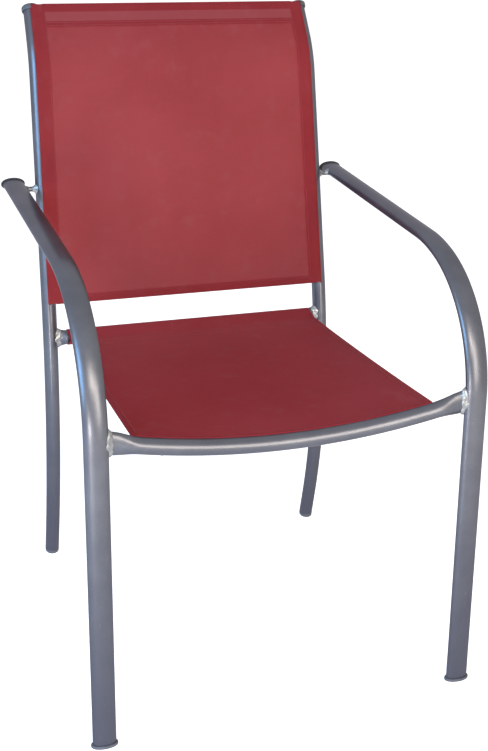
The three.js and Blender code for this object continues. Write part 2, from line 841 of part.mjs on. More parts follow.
function sleeveHull(radius, low, high, below, above, half) {
  const points = [];
  const flat = [
    [-below, low],
    [-below, high],
    [-above, high],
    [-above, low],
  ];
  for (let k = 0; k <= sleeveFacets; k += 1) {
    const angle = Math.PI / 2 + (Math.PI * k) / sleeveFacets;
    const out = radius / Math.cos(Math.PI / (2 * sleeveFacets));
    flat.push([-topRailBelowEnd + out * Math.cos(angle), -out * Math.sin(angle)]);
    flat.push([-topRailBelowEnd - out * Math.cos(angle), -out * Math.sin(angle)]);
  }
  flat.forEach(([along, out]) => {
    const station = sideStation(beyond(topEnd, along), 0);
    [-half, half].forEach((x) => points.push(place(station, new THREE.Vector2(x, out))));
  });
  return solidFrom(new ConvexGeometry(points));
}
const sleeveOuter = sleeveHull(
  topRailRadius + gap + clothThick,
  backLow + clothThick / 4,
  backHigh - clothThick / 4,
  sleeveDepth,
  clothThick / 4,
  sleeveHalf,
);
const sleeveInner = sleeveHull(
  topRailRadius + gap,
  cordOut,
  backLow + clothThick / 8,
  sleeveDepth - 2 * clothThick,
  2 * clothThick,
  sleeveHalf + sleeveEndClear / 2,
);
addPiece(
  "back_sling",
  hemStops.reduce((cloth, stop) => cloth.subtract(stop), backSheet)
    .add(sleeveOuter.subtract(sleeveInner)),
  "sling_cloth",
);

// Caps on the uprights: a dome, a plug in the tube and a skirt round it that gives way to the sling
sides.forEach(({ name, sign }) => {
  const capAt = (reach) => uprightStation(sign)(beyond(topEnd, reach));
  const wide = uprightRadius + topCapOut;
  const rows = [
    { reach: -topPlugDeep, radius: uprightRadius - tubeWall - gap },
    { reach: -topCapSkirt, radius: uprightRadius - tubeWall - gap },
    { reach: -topCapSkirt, radius: wide },
    { reach: topCapThick * topCapReachShares[0], radius: wide },
    ...topCapDomeShares.map((share, k) => ({
      reach: topCapThick * topCapReachShares[k + 1],
      radius: wide * share,
    })),
  ];
  const body = loft(
    rows.map(({ reach }) => capAt(reach)),
    (station, i) => rod(rows[i].radius, roundSides)(),
  );
  const tubeRoom = loft([capAt(-topCapSkirt - gap), capAt(gap)], () => ({
    outer: circle(uprightRadius + gap, roundSides),
    holes: [circle(uprightRadius - tubeWall - gap, roundSides)],
  }));
  const clothEdge = sign * (hemWall + 2 * gap);
  const clothRoom = loft([capAt(-topCapSkirt - gap), capAt(gap)], () => ({
    outer: [
      new THREE.Vector2(-sign * 2 * wide, backLow - gap),
      new THREE.Vector2(-sign * 2 * wide, 2 * wide),
      new THREE.Vector2(clothEdge, 2 * wide),
      new THREE.Vector2(clothEdge, backLow - gap),
    ],
    holes: [],
  }));
  addPiece(`${name}_upright_top_plug`, body.subtract(tubeRoom).subtract(clothRoom), "grey_plastic");
});

// Cords in the hems of the back sling
sides.forEach(({ name, sign }) => {
  const steps = cut(uprightPath, clothStart, uprightEnd - cordBelowEnd);
  const cord = loft(steps.map(uprightStation(sign)), () => ({
    outer: shifted(circle(cordRadius, cordSides), 0, cordOut),
    holes: [],
  }));
  addPiece(`${name}_back_cord`, cord, "edge_cord");
});

// Seat sling: hemmed into the slot of the front rail, sleeved round the rear rail
const loopRadius = rearRailRadius + gap + clothThick;
const seamTurn = Math.atan(seamRise / rearLoopReach);
const seamReach = Math.hypot(seamRise, rearLoopReach);
const seamY = rearRailY - rearLoopReach;
const seamZ = rearRailZ + seamRise;

function seatSection(railAt) {
  const exit = slotPoint(frontRailRadius + gap * 2, 0);
  const railCentre = new THREE.Vector2(railAt.y, railAt.z);
  const at = (out, along) => slotPoint(out, along).add(railCentre);
  const front = at(frontRailRadius + gap * 2, 0);
  const neckTop = at(frontRailRadius + gap * 2 + clothThick * neckRiseShare, -hemWall);
  const neckBack = at(frontRailRadius + gap * 2, hemWall);
  const hem = hemLoop(0, frontRailRadius - cordInset).map((point) => at(point.y, point.x));
  const seamLow = new THREE.Vector2(seamY, seamZ - clothThick);
  const layer = new THREE.Vector2(seamY - front.x, seamZ - exit.y - railAt.z).normalize();
  const up = new THREE.Vector2(-layer.y, layer.x).multiplyScalar(clothThick);
  const topFront = neckBack.clone().add(up);
  const topRear = new THREE.Vector2(seamY, seamZ + clothThick);
  const start = Math.acos(loopRadius / seamReach);
  const around = Array.from({ length: loopFacets + 1 }, (_, k) => {
    const angle = Math.PI - seamTurn - start - ((2 * Math.PI - 2 * start) * k) / loopFacets;
    const out = k > 0 && k < loopFacets ? loopRadius / Math.cos(Math.PI / (2 * loopFacets)) : loopRadius;
    return new THREE.Vector2(rearRailY + out * Math.cos(angle), rearRailZ + out * Math.sin(angle));
  });
  const inside = rearRailRadius + gap;
  const insideStart = Math.acos(inside / (seamReach - 3 * clothThick));
  const tunnel = Array.from({ length: loopFacets + 1 }, (_, k) => {
    const swept = 2 * Math.PI - 2 * insideStart;
    const angle = Math.PI - seamTurn - insideStart - (swept * k) / loopFacets;
    return new THREE.Vector2(
      rearRailY + inside * tunnelGrowShare * Math.cos(angle),
      rearRailZ + inside * tunnelGrowShare * Math.sin(angle),
    );
  });
  tunnel.push(new THREE.Vector2(seamY + 3 * clothThick, seamZ - clothThick / 2));
  const cord = circle(cordRadius + gap, cordSides).map((point) =>
    at(frontRailRadius - cordInset + point.y, point.x),
  );
  const sagged = (from, to) => layerShares.map((share) => {
    const point = from.clone().lerp(to, share);
    point.y -= 4 * share * (1 - share) * seatSag;
    return point;
  });
  const lower = sagged(neckBack, seamLow);
  const upper = sagged(topRear, topFront);
  const sleeve = around.slice().reverse();
  return {
    outer: [...hem, neckBack, ...lower, seamLow, ...sleeve, topRear, ...upper, topFront, neckTop],
    holes: [tunnel, cord],
  };
}

const seatShares = [0, 0.03, 0.1, 0.18, 0.27, 0.36, 0.45, 0.55, 0.64, 0.73, 0.82, 0.9, 0.97, 1];
const seatDepth = rearRailY - frontRailY;
function seatRing(share) {
  const frontX = mix(seatFrontLeftX, seatFrontRightX, share);
  const rearX = mix(seatRearLeftX, seatRearRightX, share);
  const centre = frontRailAt(frontX).at;
  const lean = (rearX - frontX) / seatDepth;
  return {
    at: new THREE.Vector3(frontX - lean * centre.y, 0, 0),
    u: new THREE.Vector3(lean, 1, 0),
    v: new THREE.Vector3(0, 0, 1),
    centre,
  };
}
const seatCloth = loft(seatShares.map(seatRing), (station) => seatSection(station.centre));

// The sleeve is notched on its underside where the two seat tubes reach the rear rail.
const notches = sides.map(({ sign }) => {
  const box = new THREE.BoxGeometry(
    2 * notchHalfWide,
    rearLoopReach,
    rearRailRadius * 2,
  );
  box.translate(
    sign * seatTubeX,
    rearRailY - rearLoopReach / 2 + rearRailRadius / 2,
    rearRailZ - rearRailRadius - clothThick * 3,
  );
  return solidFrom(box);
});
addPiece("seat_sling", seatCloth.subtract(notches[0]).subtract(notches[1]), "sling_cloth");

const cordStations = seatShares.map((share) => {
  const x = mix(seatFrontLeftX, seatFrontRightX, share);
  return { ...frontRailAt(x), v: new THREE.Vector3(0, 0, 1) };
});
addPiece(
  "seat_front_cord",
  loft(cordStations, () => ({
    outer: circle(cordRadius, cordSides).map((point) =>
      slotPoint(frontRailRadius - cordInset + point.y, point.x),
    ),
    holes: [],
  })),
  "edge_cord",
);

export default chair;
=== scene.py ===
import math

import bmesh
import bpy
from mathutils import Matrix, Vector, noise


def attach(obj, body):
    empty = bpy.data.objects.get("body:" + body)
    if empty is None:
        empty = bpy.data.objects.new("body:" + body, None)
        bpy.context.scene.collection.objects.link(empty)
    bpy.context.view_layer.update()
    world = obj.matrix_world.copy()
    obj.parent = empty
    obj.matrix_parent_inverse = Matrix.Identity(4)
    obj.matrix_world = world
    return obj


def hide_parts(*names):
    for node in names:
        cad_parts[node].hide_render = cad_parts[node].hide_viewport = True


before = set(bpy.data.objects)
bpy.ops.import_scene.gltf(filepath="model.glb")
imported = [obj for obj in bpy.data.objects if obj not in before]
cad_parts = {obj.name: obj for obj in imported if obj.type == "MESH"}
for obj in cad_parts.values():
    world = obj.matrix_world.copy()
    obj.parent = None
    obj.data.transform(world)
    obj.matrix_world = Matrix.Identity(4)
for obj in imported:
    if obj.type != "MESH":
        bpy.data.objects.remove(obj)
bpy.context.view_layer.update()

# The view. The camera stands to the left of the chair's front, a little above its top, and looks
# down on it. Its place was solved from the photograph with the chair's own symmetry.
mm = 0.001
view_turn = math.radians(19.8127)
view_fall = math.radians(23.0572)
view_roll = math.radians(-2.0214)
camera_at = Vector((-595.8, -1746.5, 1168.6)) * mm
focal_pixels = 1316.64
photo_pixels_tall = 751
film_tall = 36
view_long = 60


def stood(name, data):
    """A new object in the scene, from its data."""
    made = bpy.data.objects.new(name, data)
    bpy.context.scene.collection.objects.link(made)
    return made


ahead = Vector(
    (
        math.sin(view_turn) * math.cos(view_fall),
        math.cos(view_turn) * math.cos(view_fall),
        -math.sin(view_fall),
    )
)
level = Vector((math.cos(view_turn), -math.sin(view_turn), 0))
below = ahead.cross(level)
right = level * math.cos(view_roll) + below * math.sin(view_roll)
lower = below * math.cos(view_roll) - level * math.sin(view_roll)
camera_data = bpy.data.cameras.new("camera")
camera_data.sensor_fit = "VERTICAL"
camera_data.sensor_height = film_tall
camera_data.lens = focal_pixels * film_tall / photo_pixels_tall
camera_data.clip_end = view_long
camera = stood("camera", camera_data)
facing = Matrix((right, -lower, -ahead)).transposed().to_4x4()
camera.matrix_world = Matrix.Translation(camera_at) @ facing
bpy.context.scene.camera = camera
bpy.context.scene.view_settings.view_transform = "Standard"

# Front legs and arms. Each side is one steel tube, pressed to an oval and bent twice, that stands
# as the front leg and runs back as the arm. It is powder coated in a silver-grey metal flake.


def spaced(first, last, steps):
    """Evenly spaced values from first to last."""
    return [first + (last - first) * k / steps for k in range(steps + 1)]


class SideLine:
    """A tube's centreline seen from the side, its heading turned from upright towards the rear."""

    bend_step = math.radians(1.6)
    straight_step = 30
    least_step = 1

    def __init__(self, y, z, degrees, moves):
        self.parts = []
        self.length = 0.0
        heading = math.radians(degrees)
        for size, bent_to in moves:
            turn = 0.0 if bent_to is None else math.radians(bent_to) - heading
            long = size if bent_to is None else size * abs(turn)
            part = (self.length, long, y, z, heading, turn)
            self.parts.append(part)
            self.length += long
            y, z, heading = self.along(part, long)

    def along(self, part, into):
        start, long, y, z, heading, turn = part
        if not turn:
            return y + into * math.sin(heading), z + into * math.cos(heading), heading
        radius = long / turn
        reached = heading + turn * into / long
        return (
            y + radius * (math.cos(heading) - math.cos(reached)),
            z + radius * (math.sin(reached) - math.sin(heading)),
            reached,
        )

    def at(self, reach):
        part = self.parts[0]
        for one in self.parts:
            if one[0] <= reach:
                part = one
        return self.along(part, reach - part[0])

    def nearest(self, y, z, reach):
        """The reach of the place on the line that is nearest to y, z, and how far behind it they are."""
        for _ in range(6):
            line_y, line_z, heading = self.at(reach)
            reach += (y - line_y) * math.sin(heading) + (z - line_z) * math.cos(heading)
        line_y, line_z, heading = self.at(reach)
        return reach, (y - line_y) * math.cos(heading) - (z - line_z) * math.sin(heading)

    def reach_of(self, z):
        low, high = 0.0, self.length
        for _ in range(50):
            middle = (low + high) / 2
            low, high = (middle, high) if self.at(middle)[1] < z else (low, middle)
        return low

    def marks(self, first, last, extra=()):
        """Places along the line: close together in a bend and further apart on a straight run."""
        found = {first, last, *extra}
        for start, long, _, _, _, turn in self.parts:
            bends = math.ceil(abs(turn) / self.bend_step)
            count = max(bends, math.ceil(long / self.straight_step))
            for reach in spaced(start, start + long, count):
                clear = all(abs(reach - one) > self.least_step for one in found)
                if first < reach < last and clear:
                    found.add(reach)
        return sorted(found)


to_right, to_rear, to_top = Vector((1, 0, 0)), Vector((0, 1, 0)), Vector((0, 0, 1))


def station(line, reach, x):
    """A place for a section on a line: its centre and its directions across and along the side."""
    y, z, heading = line.at(reach)
    return Vector((x, y, z)), to_right, Vector((0, -math.cos(heading), math.sin(heading)))


def placed(at, outline):
    return [at[0] + at[1] * u + at[2] * v for u, v in outline]


def levelled(at, heading):
    """The lowest section of a leaning tube is cut level, so that its foot stands flat."""
    return at[0], at[1], Vector((0, -1 / math.cos(heading), 0))


def even_angles(count):
    return [(k + 0.5) * 2 * math.pi / count for k in range(count)]


def oval(half_u, half_v, angles, power=2.0):
    outline = []
    for angle in angles:
        c, s = math.cos(angle), math.sin(angle)
        u = math.copysign(abs(c) ** (2 / power), c) * half_u
        v = math.copysign(abs(s) ** (2 / power), s) * half_v
        outline.append((u, v))
    return outline


def round_outline(radius, count=40):
    return oval(radius, radius, even_angles(count))


def reworked(mesh, change):
    """Makes a change to a mesh in its editable form."""
    work = bmesh.new()
    work.from_mesh(mesh)
    change(work)
    work.to_mesh(mesh)
    work.free()


def smoothed(mesh, sharp):
    mesh.shade_smooth()
    mesh.set_sharp_from_angle(angle=math.radians(sharp))


def seated(made, nodes):
    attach(made, "root")
    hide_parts(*nodes)
    return made


class Shell:
    """A mesh in the making, in millimetres: rings of points, and the faces that join them."""

    def __init__(self):
        self.points = []
        self.faces = []

    def ring(self, points):
        start = len(self.points)
        self.points.extend(points)
        return list(range(start, len(self.points)))

    def skin(self, first, second, skip=()):
        for k, here in enumerate(first):
            if k not in skip:
                after = (k + 1) % len(first)
                self.faces.append((here, first[after], second[after], second[k]))

    def fan(self, ring):
        middle = sum((self.points[k] for k in ring), Vector()) / len(ring)
        (hub,) = self.ring([middle])
        for k, here in enumerate(ring):
            self.faces.append((here, ring[(k + 1) % len(ring)], hub))

    def solid(self, rings):
        """A skin over a row of rings of points, closed at both ends."""
        loops = [self.ring(points) for points in rings]
        for first, second in zip(loops, loops[1:]):
            self.skin(first, second)
        self.fan(loops[0])
        self.fan(loops[-1])
        return self

    def piece(self, name, finish, slot, *nodes, sharp=32):
        mesh = bpy.data.meshes.new(name)
        mesh.from_pydata([point * mm for point in self.points], [], self.faces)
        reworked(mesh, lambda work: bmesh.ops.recalc_face_normals(work, faces=work.faces))
        smoothed(mesh, sharp)
        mesh.materials.append(finish)
        return seated(stood(name, mesh), nodes)


def tube(rings, bores, slot=None):
    """A tube's wall between its outer rings and its bore. slot gives the first and last ring of
    a slot between the first two points of each ring."""
    shell = Shell()
    outer = [shell.ring(ring) for ring in rings]
    inner = [shell.ring(ring) for ring in bores]
    last = len(outer) - 1
    opened, closed = slot or (last + 1, last + 1)
    for k in range(last):
        cut = (0,) if opened <= k < closed else ()
        shell.skin(outer[k], outer[k + 1], cut)
        shell.skin(inner[k + 1], inner[k], cut)
        for edge in (0, 1) if cut else ():
            shell.faces.append(
                (outer[k][edge], outer[k + 1][edge], inner[k + 1][edge], inner[k][edge])
            )
    for k in (opened, closed):
        if 0 < k < last:
            shell.faces.append((outer[k][0], outer[k][1], inner[k][1], inner[k][0]))
    shell.skin(inner[0], outer[0])
    shell.skin(outer[last], inner[last], (0,) if closed == last else ())
    return shell


class Shade:
    """A socket in a finish's nodes. Sums on it add Math nodes, and node() adds any other."""

    def __init__(self, tree, socket=None):
        self.tree = tree
        self.socket = socket

    def node(self, kind, settings, sockets, out=0):
        made = self.tree.nodes.new(kind)
        for name, value in settings.items():
            setattr(made, name, value)
        for name, value in sockets.items():
            if isinstance(value, Shade):
                self.tree.links.new(value.socket, made.inputs[name])
            else:
                made.inputs[name].default_value = value
        return Shade(self.tree, made.outputs[out])

    def sum(self, operation, *values):
        return self.node("ShaderNodeMath", {"operation": operation}, dict(enumerate(values)))

    def __add__(self, other):
        return self.sum("ADD", self, other)

    __radd__ = __add__

    def __sub__(self, other):
        return self.sum("SUBTRACT", self, other)

    def __rsub__(self, other):
        return self.sum("SUBTRACT", other, self)

    def __mul__(self, other):
        return self.sum("MULTIPLY", self, other)

    __rmul__ = __mul__

    def sine(self):
        return self.sum("SINE", self)

    def size(self):
        return self.sum("ABSOLUTE", self)

    def most(self, other):
        return self.sum("MAXIMUM", self, other)

    def part(self, k):
        return self.node("ShaderNodeSeparateXYZ", {}, {0: self}, k)

    def from_to(self, low, high):
        """0 at low and below, 1 at high and above, and a soft rise between them."""
        return self.node(
            "ShaderNodeMapRange",
            {"interpolation_type": "SMOOTHSTEP"},
            {"Value": self, "From Min": low, "From Max": high},
        )

    def between(self, first, second):
        """The first colour where this is 0 and the second where it is 1."""
        ends = [one if isinstance(one, Shade) else (*one, 1.0) for one in (first, second)]
        return self.node(
            "ShaderNodeMix", {"data_type": "RGBA"}, {0: self, 6: ends[0], 7: ends[1]}, 2
        )

    def stretched(self, scale):
        return self.node("ShaderNodeMapping", {}, {"Vector": self, "Scale": scale})

    def cloud(self, scale, detail=2.0, rough=0.5):
        return self.node(
            "ShaderNodeTexNoise",
            {},
            {"Vector": self, "Scale": scale, "Detail": detail, "Roughness": rough},
        )

    def relief(self, deep, under=None):
        """This as heights in a Bump node, deep in metres, over an earlier relief if one is given."""
        sockets = {"Height": self, "Distance": deep}
        if under:
            sockets["Normal"] = under
        return self.node("ShaderNodeBump", {}, sockets)


def new_finish(name, plain):
    """A finish with these plain values on its shader, and the place on the piece as a Shade."""
    made = bpy.data.materials.new(name)
    made.use_nodes = True
    for socket, value in plain.items():
        made.node_tree.nodes["Principled BSDF"].inputs[socket].default_value = value
    start = Shade(made.node_tree)
    return made, start.node("ShaderNodeTexCoord", {}, {}, "Object")


def lay_on(finish, shades):
    shader = finish.node_tree.nodes["Principled BSDF"]
    for socket, shade in shades.items():
        finish.node_tree.links.new(shade.socket, shader.inputs[socket])


def frame_paint(name, light, dark, low_shade, rough):
    """Silver-grey powder coat: metal flake, a fine orange peel, rubbed patches, and lower legs a
    little rougher and painted darker and bluer, a painted shade towards the floor.
    """
    made, spot = new_finish(
        name,
        {
            "Metallic": 0.72,
            "Specular IOR Level": 0.15,
            "Specular Tint": (0.56, 0.53, 0.58, 1),
        },
    )
    flake = spot.cloud(1500, 1.0)
    patches = spot.cloud(14, 4.0, 0.6)
    peel = spot.cloud(420, 2.0)
    rubs = spot.stretched((60, 60, 9)).cloud(8, 5.0, 0.7).from_to(0.6, 0.74)
    # The lower legs, up to 0.42 m, are painted darker and bluer: painted shade towards the floor.
    low = 1 - spot.part(2).from_to(0.0, 0.42)
    paint = (patches.from_to(0.3, 0.7) * 0.6 + flake.from_to(0.35, 0.65) * 0.4).between(dark, light)
    shaded_paint = (low * 0.75).between(paint, low_shade)
    lay_on(
        made,
        {
            "Base Color": (rubs * 0.12).between(shaded_paint, (0.42, 0.42, 0.44)),
            "Roughness": rough + patches * 0.1 + flake * 0.06 + low * 0.05 - rubs * 0.06,
            "Normal": flake.relief(0.00002, peel.relief(0.00005)),
        },
    )
    return made


paint = frame_paint(
    "silver_powder_coat", (0.146, 0.145, 0.165), (0.104, 0.103, 0.121), (0.07, 0.069, 0.093), 0.24
)
leg_half_wide, leg_half_thick, leg_power = 16.4, 7.6, 2.08
leg_wall = 1.5
arm_half_span = 266.6
leg_start_z = 4.8
leg_run, shoulder_run, arm_run = 443.2, 6.4, 361.4
leg_lean, shoulder_lean, arm_lean = 4.07, 76.89, 88.53
leg_bend_radius, arm_bend_radius = 188.7, 200
front_foot_y = -327.2
leg_line = SideLine(
    front_foot_y + leg_start_z * math.tan(math.radians(leg_lean)),
    leg_start_z,
    leg_lean,
    [
        (leg_run - leg_start_z, None),
        (leg_bend_radius, shoulder_lean),
        (shoulder_run, None),
        (arm_bend_radius, arm_lean),
        (arm_run, None),
    ],
)
leg_angles = even_angles(72)


def leg_outline(grow):
    return oval(leg_half_wide + grow, leg_half_thick + grow, leg_angles, leg_power)


def leg_station(reach, sign):
    return station(leg_line, reach, sign * arm_half_span)


sides = (("left", -1), ("right", 1))
for side, sign in sides:
    stations = [leg_station(reach, sign) for reach in leg_line.marks(0, leg_line.length)]
    stations[0] = levelled(stations[0], math.radians(leg_lean))
    tube(
        [placed(at, leg_outline(0)) for at in stations],
        [placed(at, leg_outline(-leg_wall)) for at in stations],
    ).piece(f"{side}_leg_and_arm_tube", paint, "frame_paint", f"{side}_front_leg_and_arm")

# Rear legs and back uprights. Each side is one round steel tube, bent back at the seat and again
# near the top, with a slot milled along its front that takes the edge of the back sling.
upright_radius = 11.4
rear_foot_y = 198.9
rear_foot_half_span = 232.8
rear_start_z = 6.8
rear_run, back_run, top_run = 50.9, 331, 55
rear_lean, back_lean, top_lean = -11.9, 13.28, 34.99
seat_bend_radius, top_bend_radius = 951.4, 156.4
closing_with_height, closing_with_depth = 0.00982, 0.03805
upright_line = SideLine(
    rear_foot_y + rear_start_z * math.tan(math.radians(rear_lean)),
    rear_start_z,
    rear_lean,
    [
        (rear_run - rear_start_z / math.cos(math.radians(rear_lean)), None),
        (seat_bend_radius, back_lean),
        (back_run, None),
        (top_bend_radius, top_lean),
        (top_run, None),
    ],
)
slot_half = 1.4
slot_spare = 0.8
cloth_foot_z = 451
cloth_start = upright_line.reach_of(cloth_foot_z)
slot_start = cloth_start - slot_spare
upright_end = upright_line.length


def half_span(y, z):
    """Half the distance between the two uprights, which close in as they rise and go back."""
    return rear_foot_half_span - z * closing_with_height - (y - rear_foot_y) * closing_with_depth


def half_span_at(reach):
    return half_span(*upright_line.at(reach)[:2])


def upright_station(reach, sign):
    return station(upright_line, reach, sign * half_span_at(reach))


def slotted_round(radius, centre=math.pi / 2, count=64):
    """A round outline whose first two points are the edges of a slot, facing centre."""
    half = math.asin(slot_half / radius)
    rest = 2 * math.pi - 2 * half
    angles = [centre - half]
    angles += [centre + half + rest * k / (count - 1) for k in range(count - 1)]
    return angles


def upright_outline(grow):
    radius = upright_radius + grow
    return oval(radius, radius, slotted_round(radius))


for side, sign in sides:
    reaches = upright_line.marks(0, upright_end, (slot_start,))
    stations = [upright_station(reach, sign) for reach in reaches]
    stations[0] = levelled(stations[0], math.radians(rear_lean))
    tube(
        [placed(at, upright_outline(0)) for at in stations],
        [placed(at, upright_outline(-leg_wall)) for at in stations],
        (reaches.index(slot_start), len(reaches) - 1),
    ).piece(f"{side}_upright_tube", paint, "frame_paint", f"{side}_rear_leg_and_upright")

# Front rail. A round tube that dips towards its middle. Its ends are pressed tall and narrow and
# notched round the oval legs, and a slot along its top holds the corded edge of the seat sling.
rail_radius = 11.3
rail_end_z = 437
rail_dip = 30.4
rail_bow = 3.5
rail_set_back = 5
rail_reach = arm_half_span - leg_half_wide
rail_y = leg_line.at(leg_line.reach_of(rail_end_z))[0] + rail_set_back
rail_press_long = 42
rail_end_half_thick, rail_end_half_tall = 6.4, 16.8
rail_slot_turn = math.radians(21)
rail_slot_half_length = 221
rail_step = 6.5
rail_last_ring = 12
rail_fit = 3
rail_notch = 5


def held(share):
    return min(max(share, 0), 1)


def eased(share):
    share = held(share)
    return share * share * (3 - 2 * share)


def front_rail_at(x):
    share = x / rail_reach
    rise = 2 * rail_dip * share / rail_reach
    bend = 1 - share * share
    centre = Vector((x, rail_y + rail_bow * bend, rail_end_z - rail_dip * bend))
    return centre, to_rear, Vector((-rise, 0, 1)).normalized()


def front_rail_outline(x, grow):
    share = eased((abs(x) - (rail_reach - rail_press_long)) / rail_press_long)
    half_thick = rail_radius + (rail_end_half_thick - rail_radius) * share + grow
    half_tall = rail_radius + (rail_end_half_tall - rail_radius) * share + grow
    angles = slotted_round(rail_radius + grow, math.pi / 2 - rail_slot_turn)
    return oval(half_thick, half_tall, angles)


def met(points, joint):
    """Runs each point on along the tube to the surface that the tube is fitted against. A joint is
    a function for the tube's outline near its end, the way the tube runs there, an axis, and a
    function for the surface's place along that axis."""
    _, run, axis, surface = joint
    reached = []
    for point in points:
        here = point.copy()
        for _ in range(5):
            here += run * ((surface(here) - here[axis]) / run[axis])
        reached.append(here)
    return reached


def fitted(joint, grow):
    return met(joint[0](grow), joint)


def leg_face(sign, near=rail_end_z, furthest=rail_reach + rail_notch):
    """The inner side of a leg or arm, about a place on its line, no further out than furthest."""

    def surface(point):
        _, off = leg_line.nearest(point.y, point.z, near)
        share = min(abs(off) / leg_half_thick, 1) ** leg_power
        x = arm_half_span - leg_half_wide * (1 - share) ** (1 / leg_power)
        return sign * min(x, furthest)

    return surface


def front_rail_joint(sign):
    x = sign * (rail_reach - rail_fit)
    at = front_rail_at(x)
    run = Vector((sign * at[2].z, 0, -sign * at[2].x))
    return lambda grow: placed(at, front_rail_outline(x, grow)), run, 0, leg_face(sign)


def front_rail_rings(grow):
    long = rail_reach - rail_last_ring
    count = round(long / rail_step)
    slot_ends = (-rail_slot_half_length, rail_slot_half_length)
    places = sorted({*spaced(-long, long, 2 * count), *slot_ends})
    rings = [placed(front_rail_at(x), front_rail_outline(x, grow)) for x in places]
    left, right = (fitted(front_rail_joint(sign), grow) for sign in (-1, 1))
    return [left, *rings, right], places


rings, places = front_rail_rings(0)
tube(
    rings,
    front_rail_rings(-leg_wall)[0],
    (places.index(-rail_slot_half_length) + 1, places.index(rail_slot_half_length) + 1),
).piece("front_rail_tube", paint, "frame_paint", "front_rail")

# Rear rail and top rail. Two straight round tubes between the uprights, the rear one with its ends
# pressed a little taller and narrower. The seat sling's sleeve goes round the rear one, and the
# back sling's sleeve round the top one.
rear_rail_z = 396.2
rear_rail_radius = 11.3
rear_rail_y = upright_line.at(upright_line.reach_of(rear_rail_z))[0]
rear_rail_press, rail_narrowing = 1.9, 1.8
top_rail_radius = 9.5
top_rail_below_end = 19
top_rail_y, top_rail_z, _ = upright_line.at(upright_end - top_rail_below_end)
plain_half_length, plain_rings = 204, 6
press_long, press_rings = 10, 8
rail_sides = 56


def upright_face(sign, outward=-1):
    """The side of an upright: the inner one, or the outer one where outward is 1."""

    def surface(point):
        reach, off = upright_line.nearest(point.y, point.z, point.z)
        deep = math.sqrt(max(upright_radius**2 - off * off, 0))
        return sign * (half_span_at(reach) + outward * deep)

    return surface


def straight_rail_ring(x, y, z, radius, press):
    """A ring of a straight rail; press is how much taller and narrower its very ends are."""
    share = eased((abs(x) - plain_half_length) / press_long)
    half_thick = radius - rail_narrowing * press * share
    outline = oval(half_thick, radius + press * share, even_angles(rail_sides))
    return placed((Vector((x, y, z)), to_rear, to_top), outline)


def straight_rail_joint(rail, sign):
    y, z, radius, press = straight_rails[rail]
    x = sign * (plain_half_length + press_long)

    def section(grow):
        return straight_rail_ring(x, y, z, radius + grow, press)

    return section, to_right * sign, 0, upright_face(sign)


def straight_rail_rings(rail, grow):
    y, z, radius, press = straight_rails[rail]
    places = spaced(-plain_half_length, plain_half_length, 2 * plain_rings)
    for step in range(1, press_rings + 1):
        places += [-plain_half_length - step, plain_half_length + step]
    rings = [straight_rail_ring(x, y, z, radius + grow, press) for x in sorted(places)]
    left, right = (fitted(straight_rail_joint(rail, sign), grow) for sign in (-1, 1))
    return [left, *rings, right]


straight_rails = {
    "rear": (rear_rail_y, rear_rail_z, rear_rail_radius, rear_rail_press),
    "top": (top_rail_y, top_rail_z, top_rail_radius, 0.0),
}
for name in straight_rails:
    tube(straight_rail_rings(name, 0), straight_rail_rings(name, -leg_wall)).piece(
        f"{name}_rail_tube", paint, "frame_paint", f"{name}_rail"
    )

# Seat tubes. Two thinner round tubes under the seat, from the back of the front rail to the
# underside of the rear rail, bowed down a little so that the sling can give under a sitter.
seat_tube_x = 176
seat_tube_radius = 8
seat_tube_bow = 36
seat_tube_below_front, seat_tube_below_rear = 4, 12.5
seat_tube_start = front_rail_at(seat_tube_x)[0] - Vector((0, 0, seat_tube_below_front))
seat_tube_stop = Vector((seat_tube_x, rear_rail_y, rear_rail_z - seat_tube_below_rear))
seat_tube_steps, seat_tube_spared = 40, 3
rail_back_share = 0.93


def seat_tube_station(sign, share):
    fall = seat_tube_stop.z - seat_tube_start.z
    long = seat_tube_stop.y - seat_tube_start.y
    centre = seat_tube_start.lerp(seat_tube_stop, share)
    centre.z -= seat_tube_bow * share * (1 - share)
    slope = (fall - seat_tube_bow * (1 - 2 * share)) / long
    centre.x *= sign
    return centre, to_right, Vector((0, -slope, 1)).normalized()


def front_rail_back(point):
    centre, _, up = front_rail_at(point.x)
    off = min(abs(point.z - centre.z) * up.z, rail_back_share * rail_radius)
    return centre.y + math.sqrt(rail_radius**2 - off * off)


def rear_rail_front(point):
    off = point.z - rear_rail_z
    return rear_rail_y - math.sqrt(max(rear_rail_radius**2 - off * off, 0))


def seat_tube_ring(sign, step, grow):
    at = seat_tube_station(sign, step / seat_tube_steps)
    return placed(at, round_outline(seat_tube_radius + grow))


def seat_tube_joint(end, sign):
    toward, step, face = seat_tube_ends[end]
    up = seat_tube_station(sign, step / seat_tube_steps)[2]
    run = Vector((0, -up.z, up.y)) * toward
    return lambda grow: seat_tube_ring(sign, step, grow), run, 1, face


def seat_tube_rings(sign, grow):
    front, rear = (fitted(seat_tube_joint(end, sign), grow) for end in seat_tube_ends)
    steps = range(seat_tube_spared, seat_tube_steps - seat_tube_spared + 1)
    return [front, *(seat_tube_ring(sign, step, grow) for step in steps), rear]


seat_tube_ends = {
    "front": (1, seat_tube_spared, front_rail_back),
    "rear": (-1, seat_tube_steps - seat_tube_spared, rear_rail_front),
}


for side, sign in sides:
    tube(seat_tube_rings(sign, 0), seat_tube_rings(sign, -leg_wall)).piece(
        f"{side}_seat_support_tube", paint, "frame_paint", f"{side}_seat_tube"
    )

# Arm bars. A short solid steel rod on each side, from the inner side of the arm to the outer side
# of the upright, welded at both ends.
arm_bar_radius = 3.9
arm_bar_below_arm, arm_bar_from_end = 2.4, 20
arm_bar_middle_x = 247
arm_bar_z = leg_line.at(leg_line.length)[1] - arm_bar_below_arm
arm_bar_y = upright_line.at(upright_line.reach_of(arm_bar_z))[0]


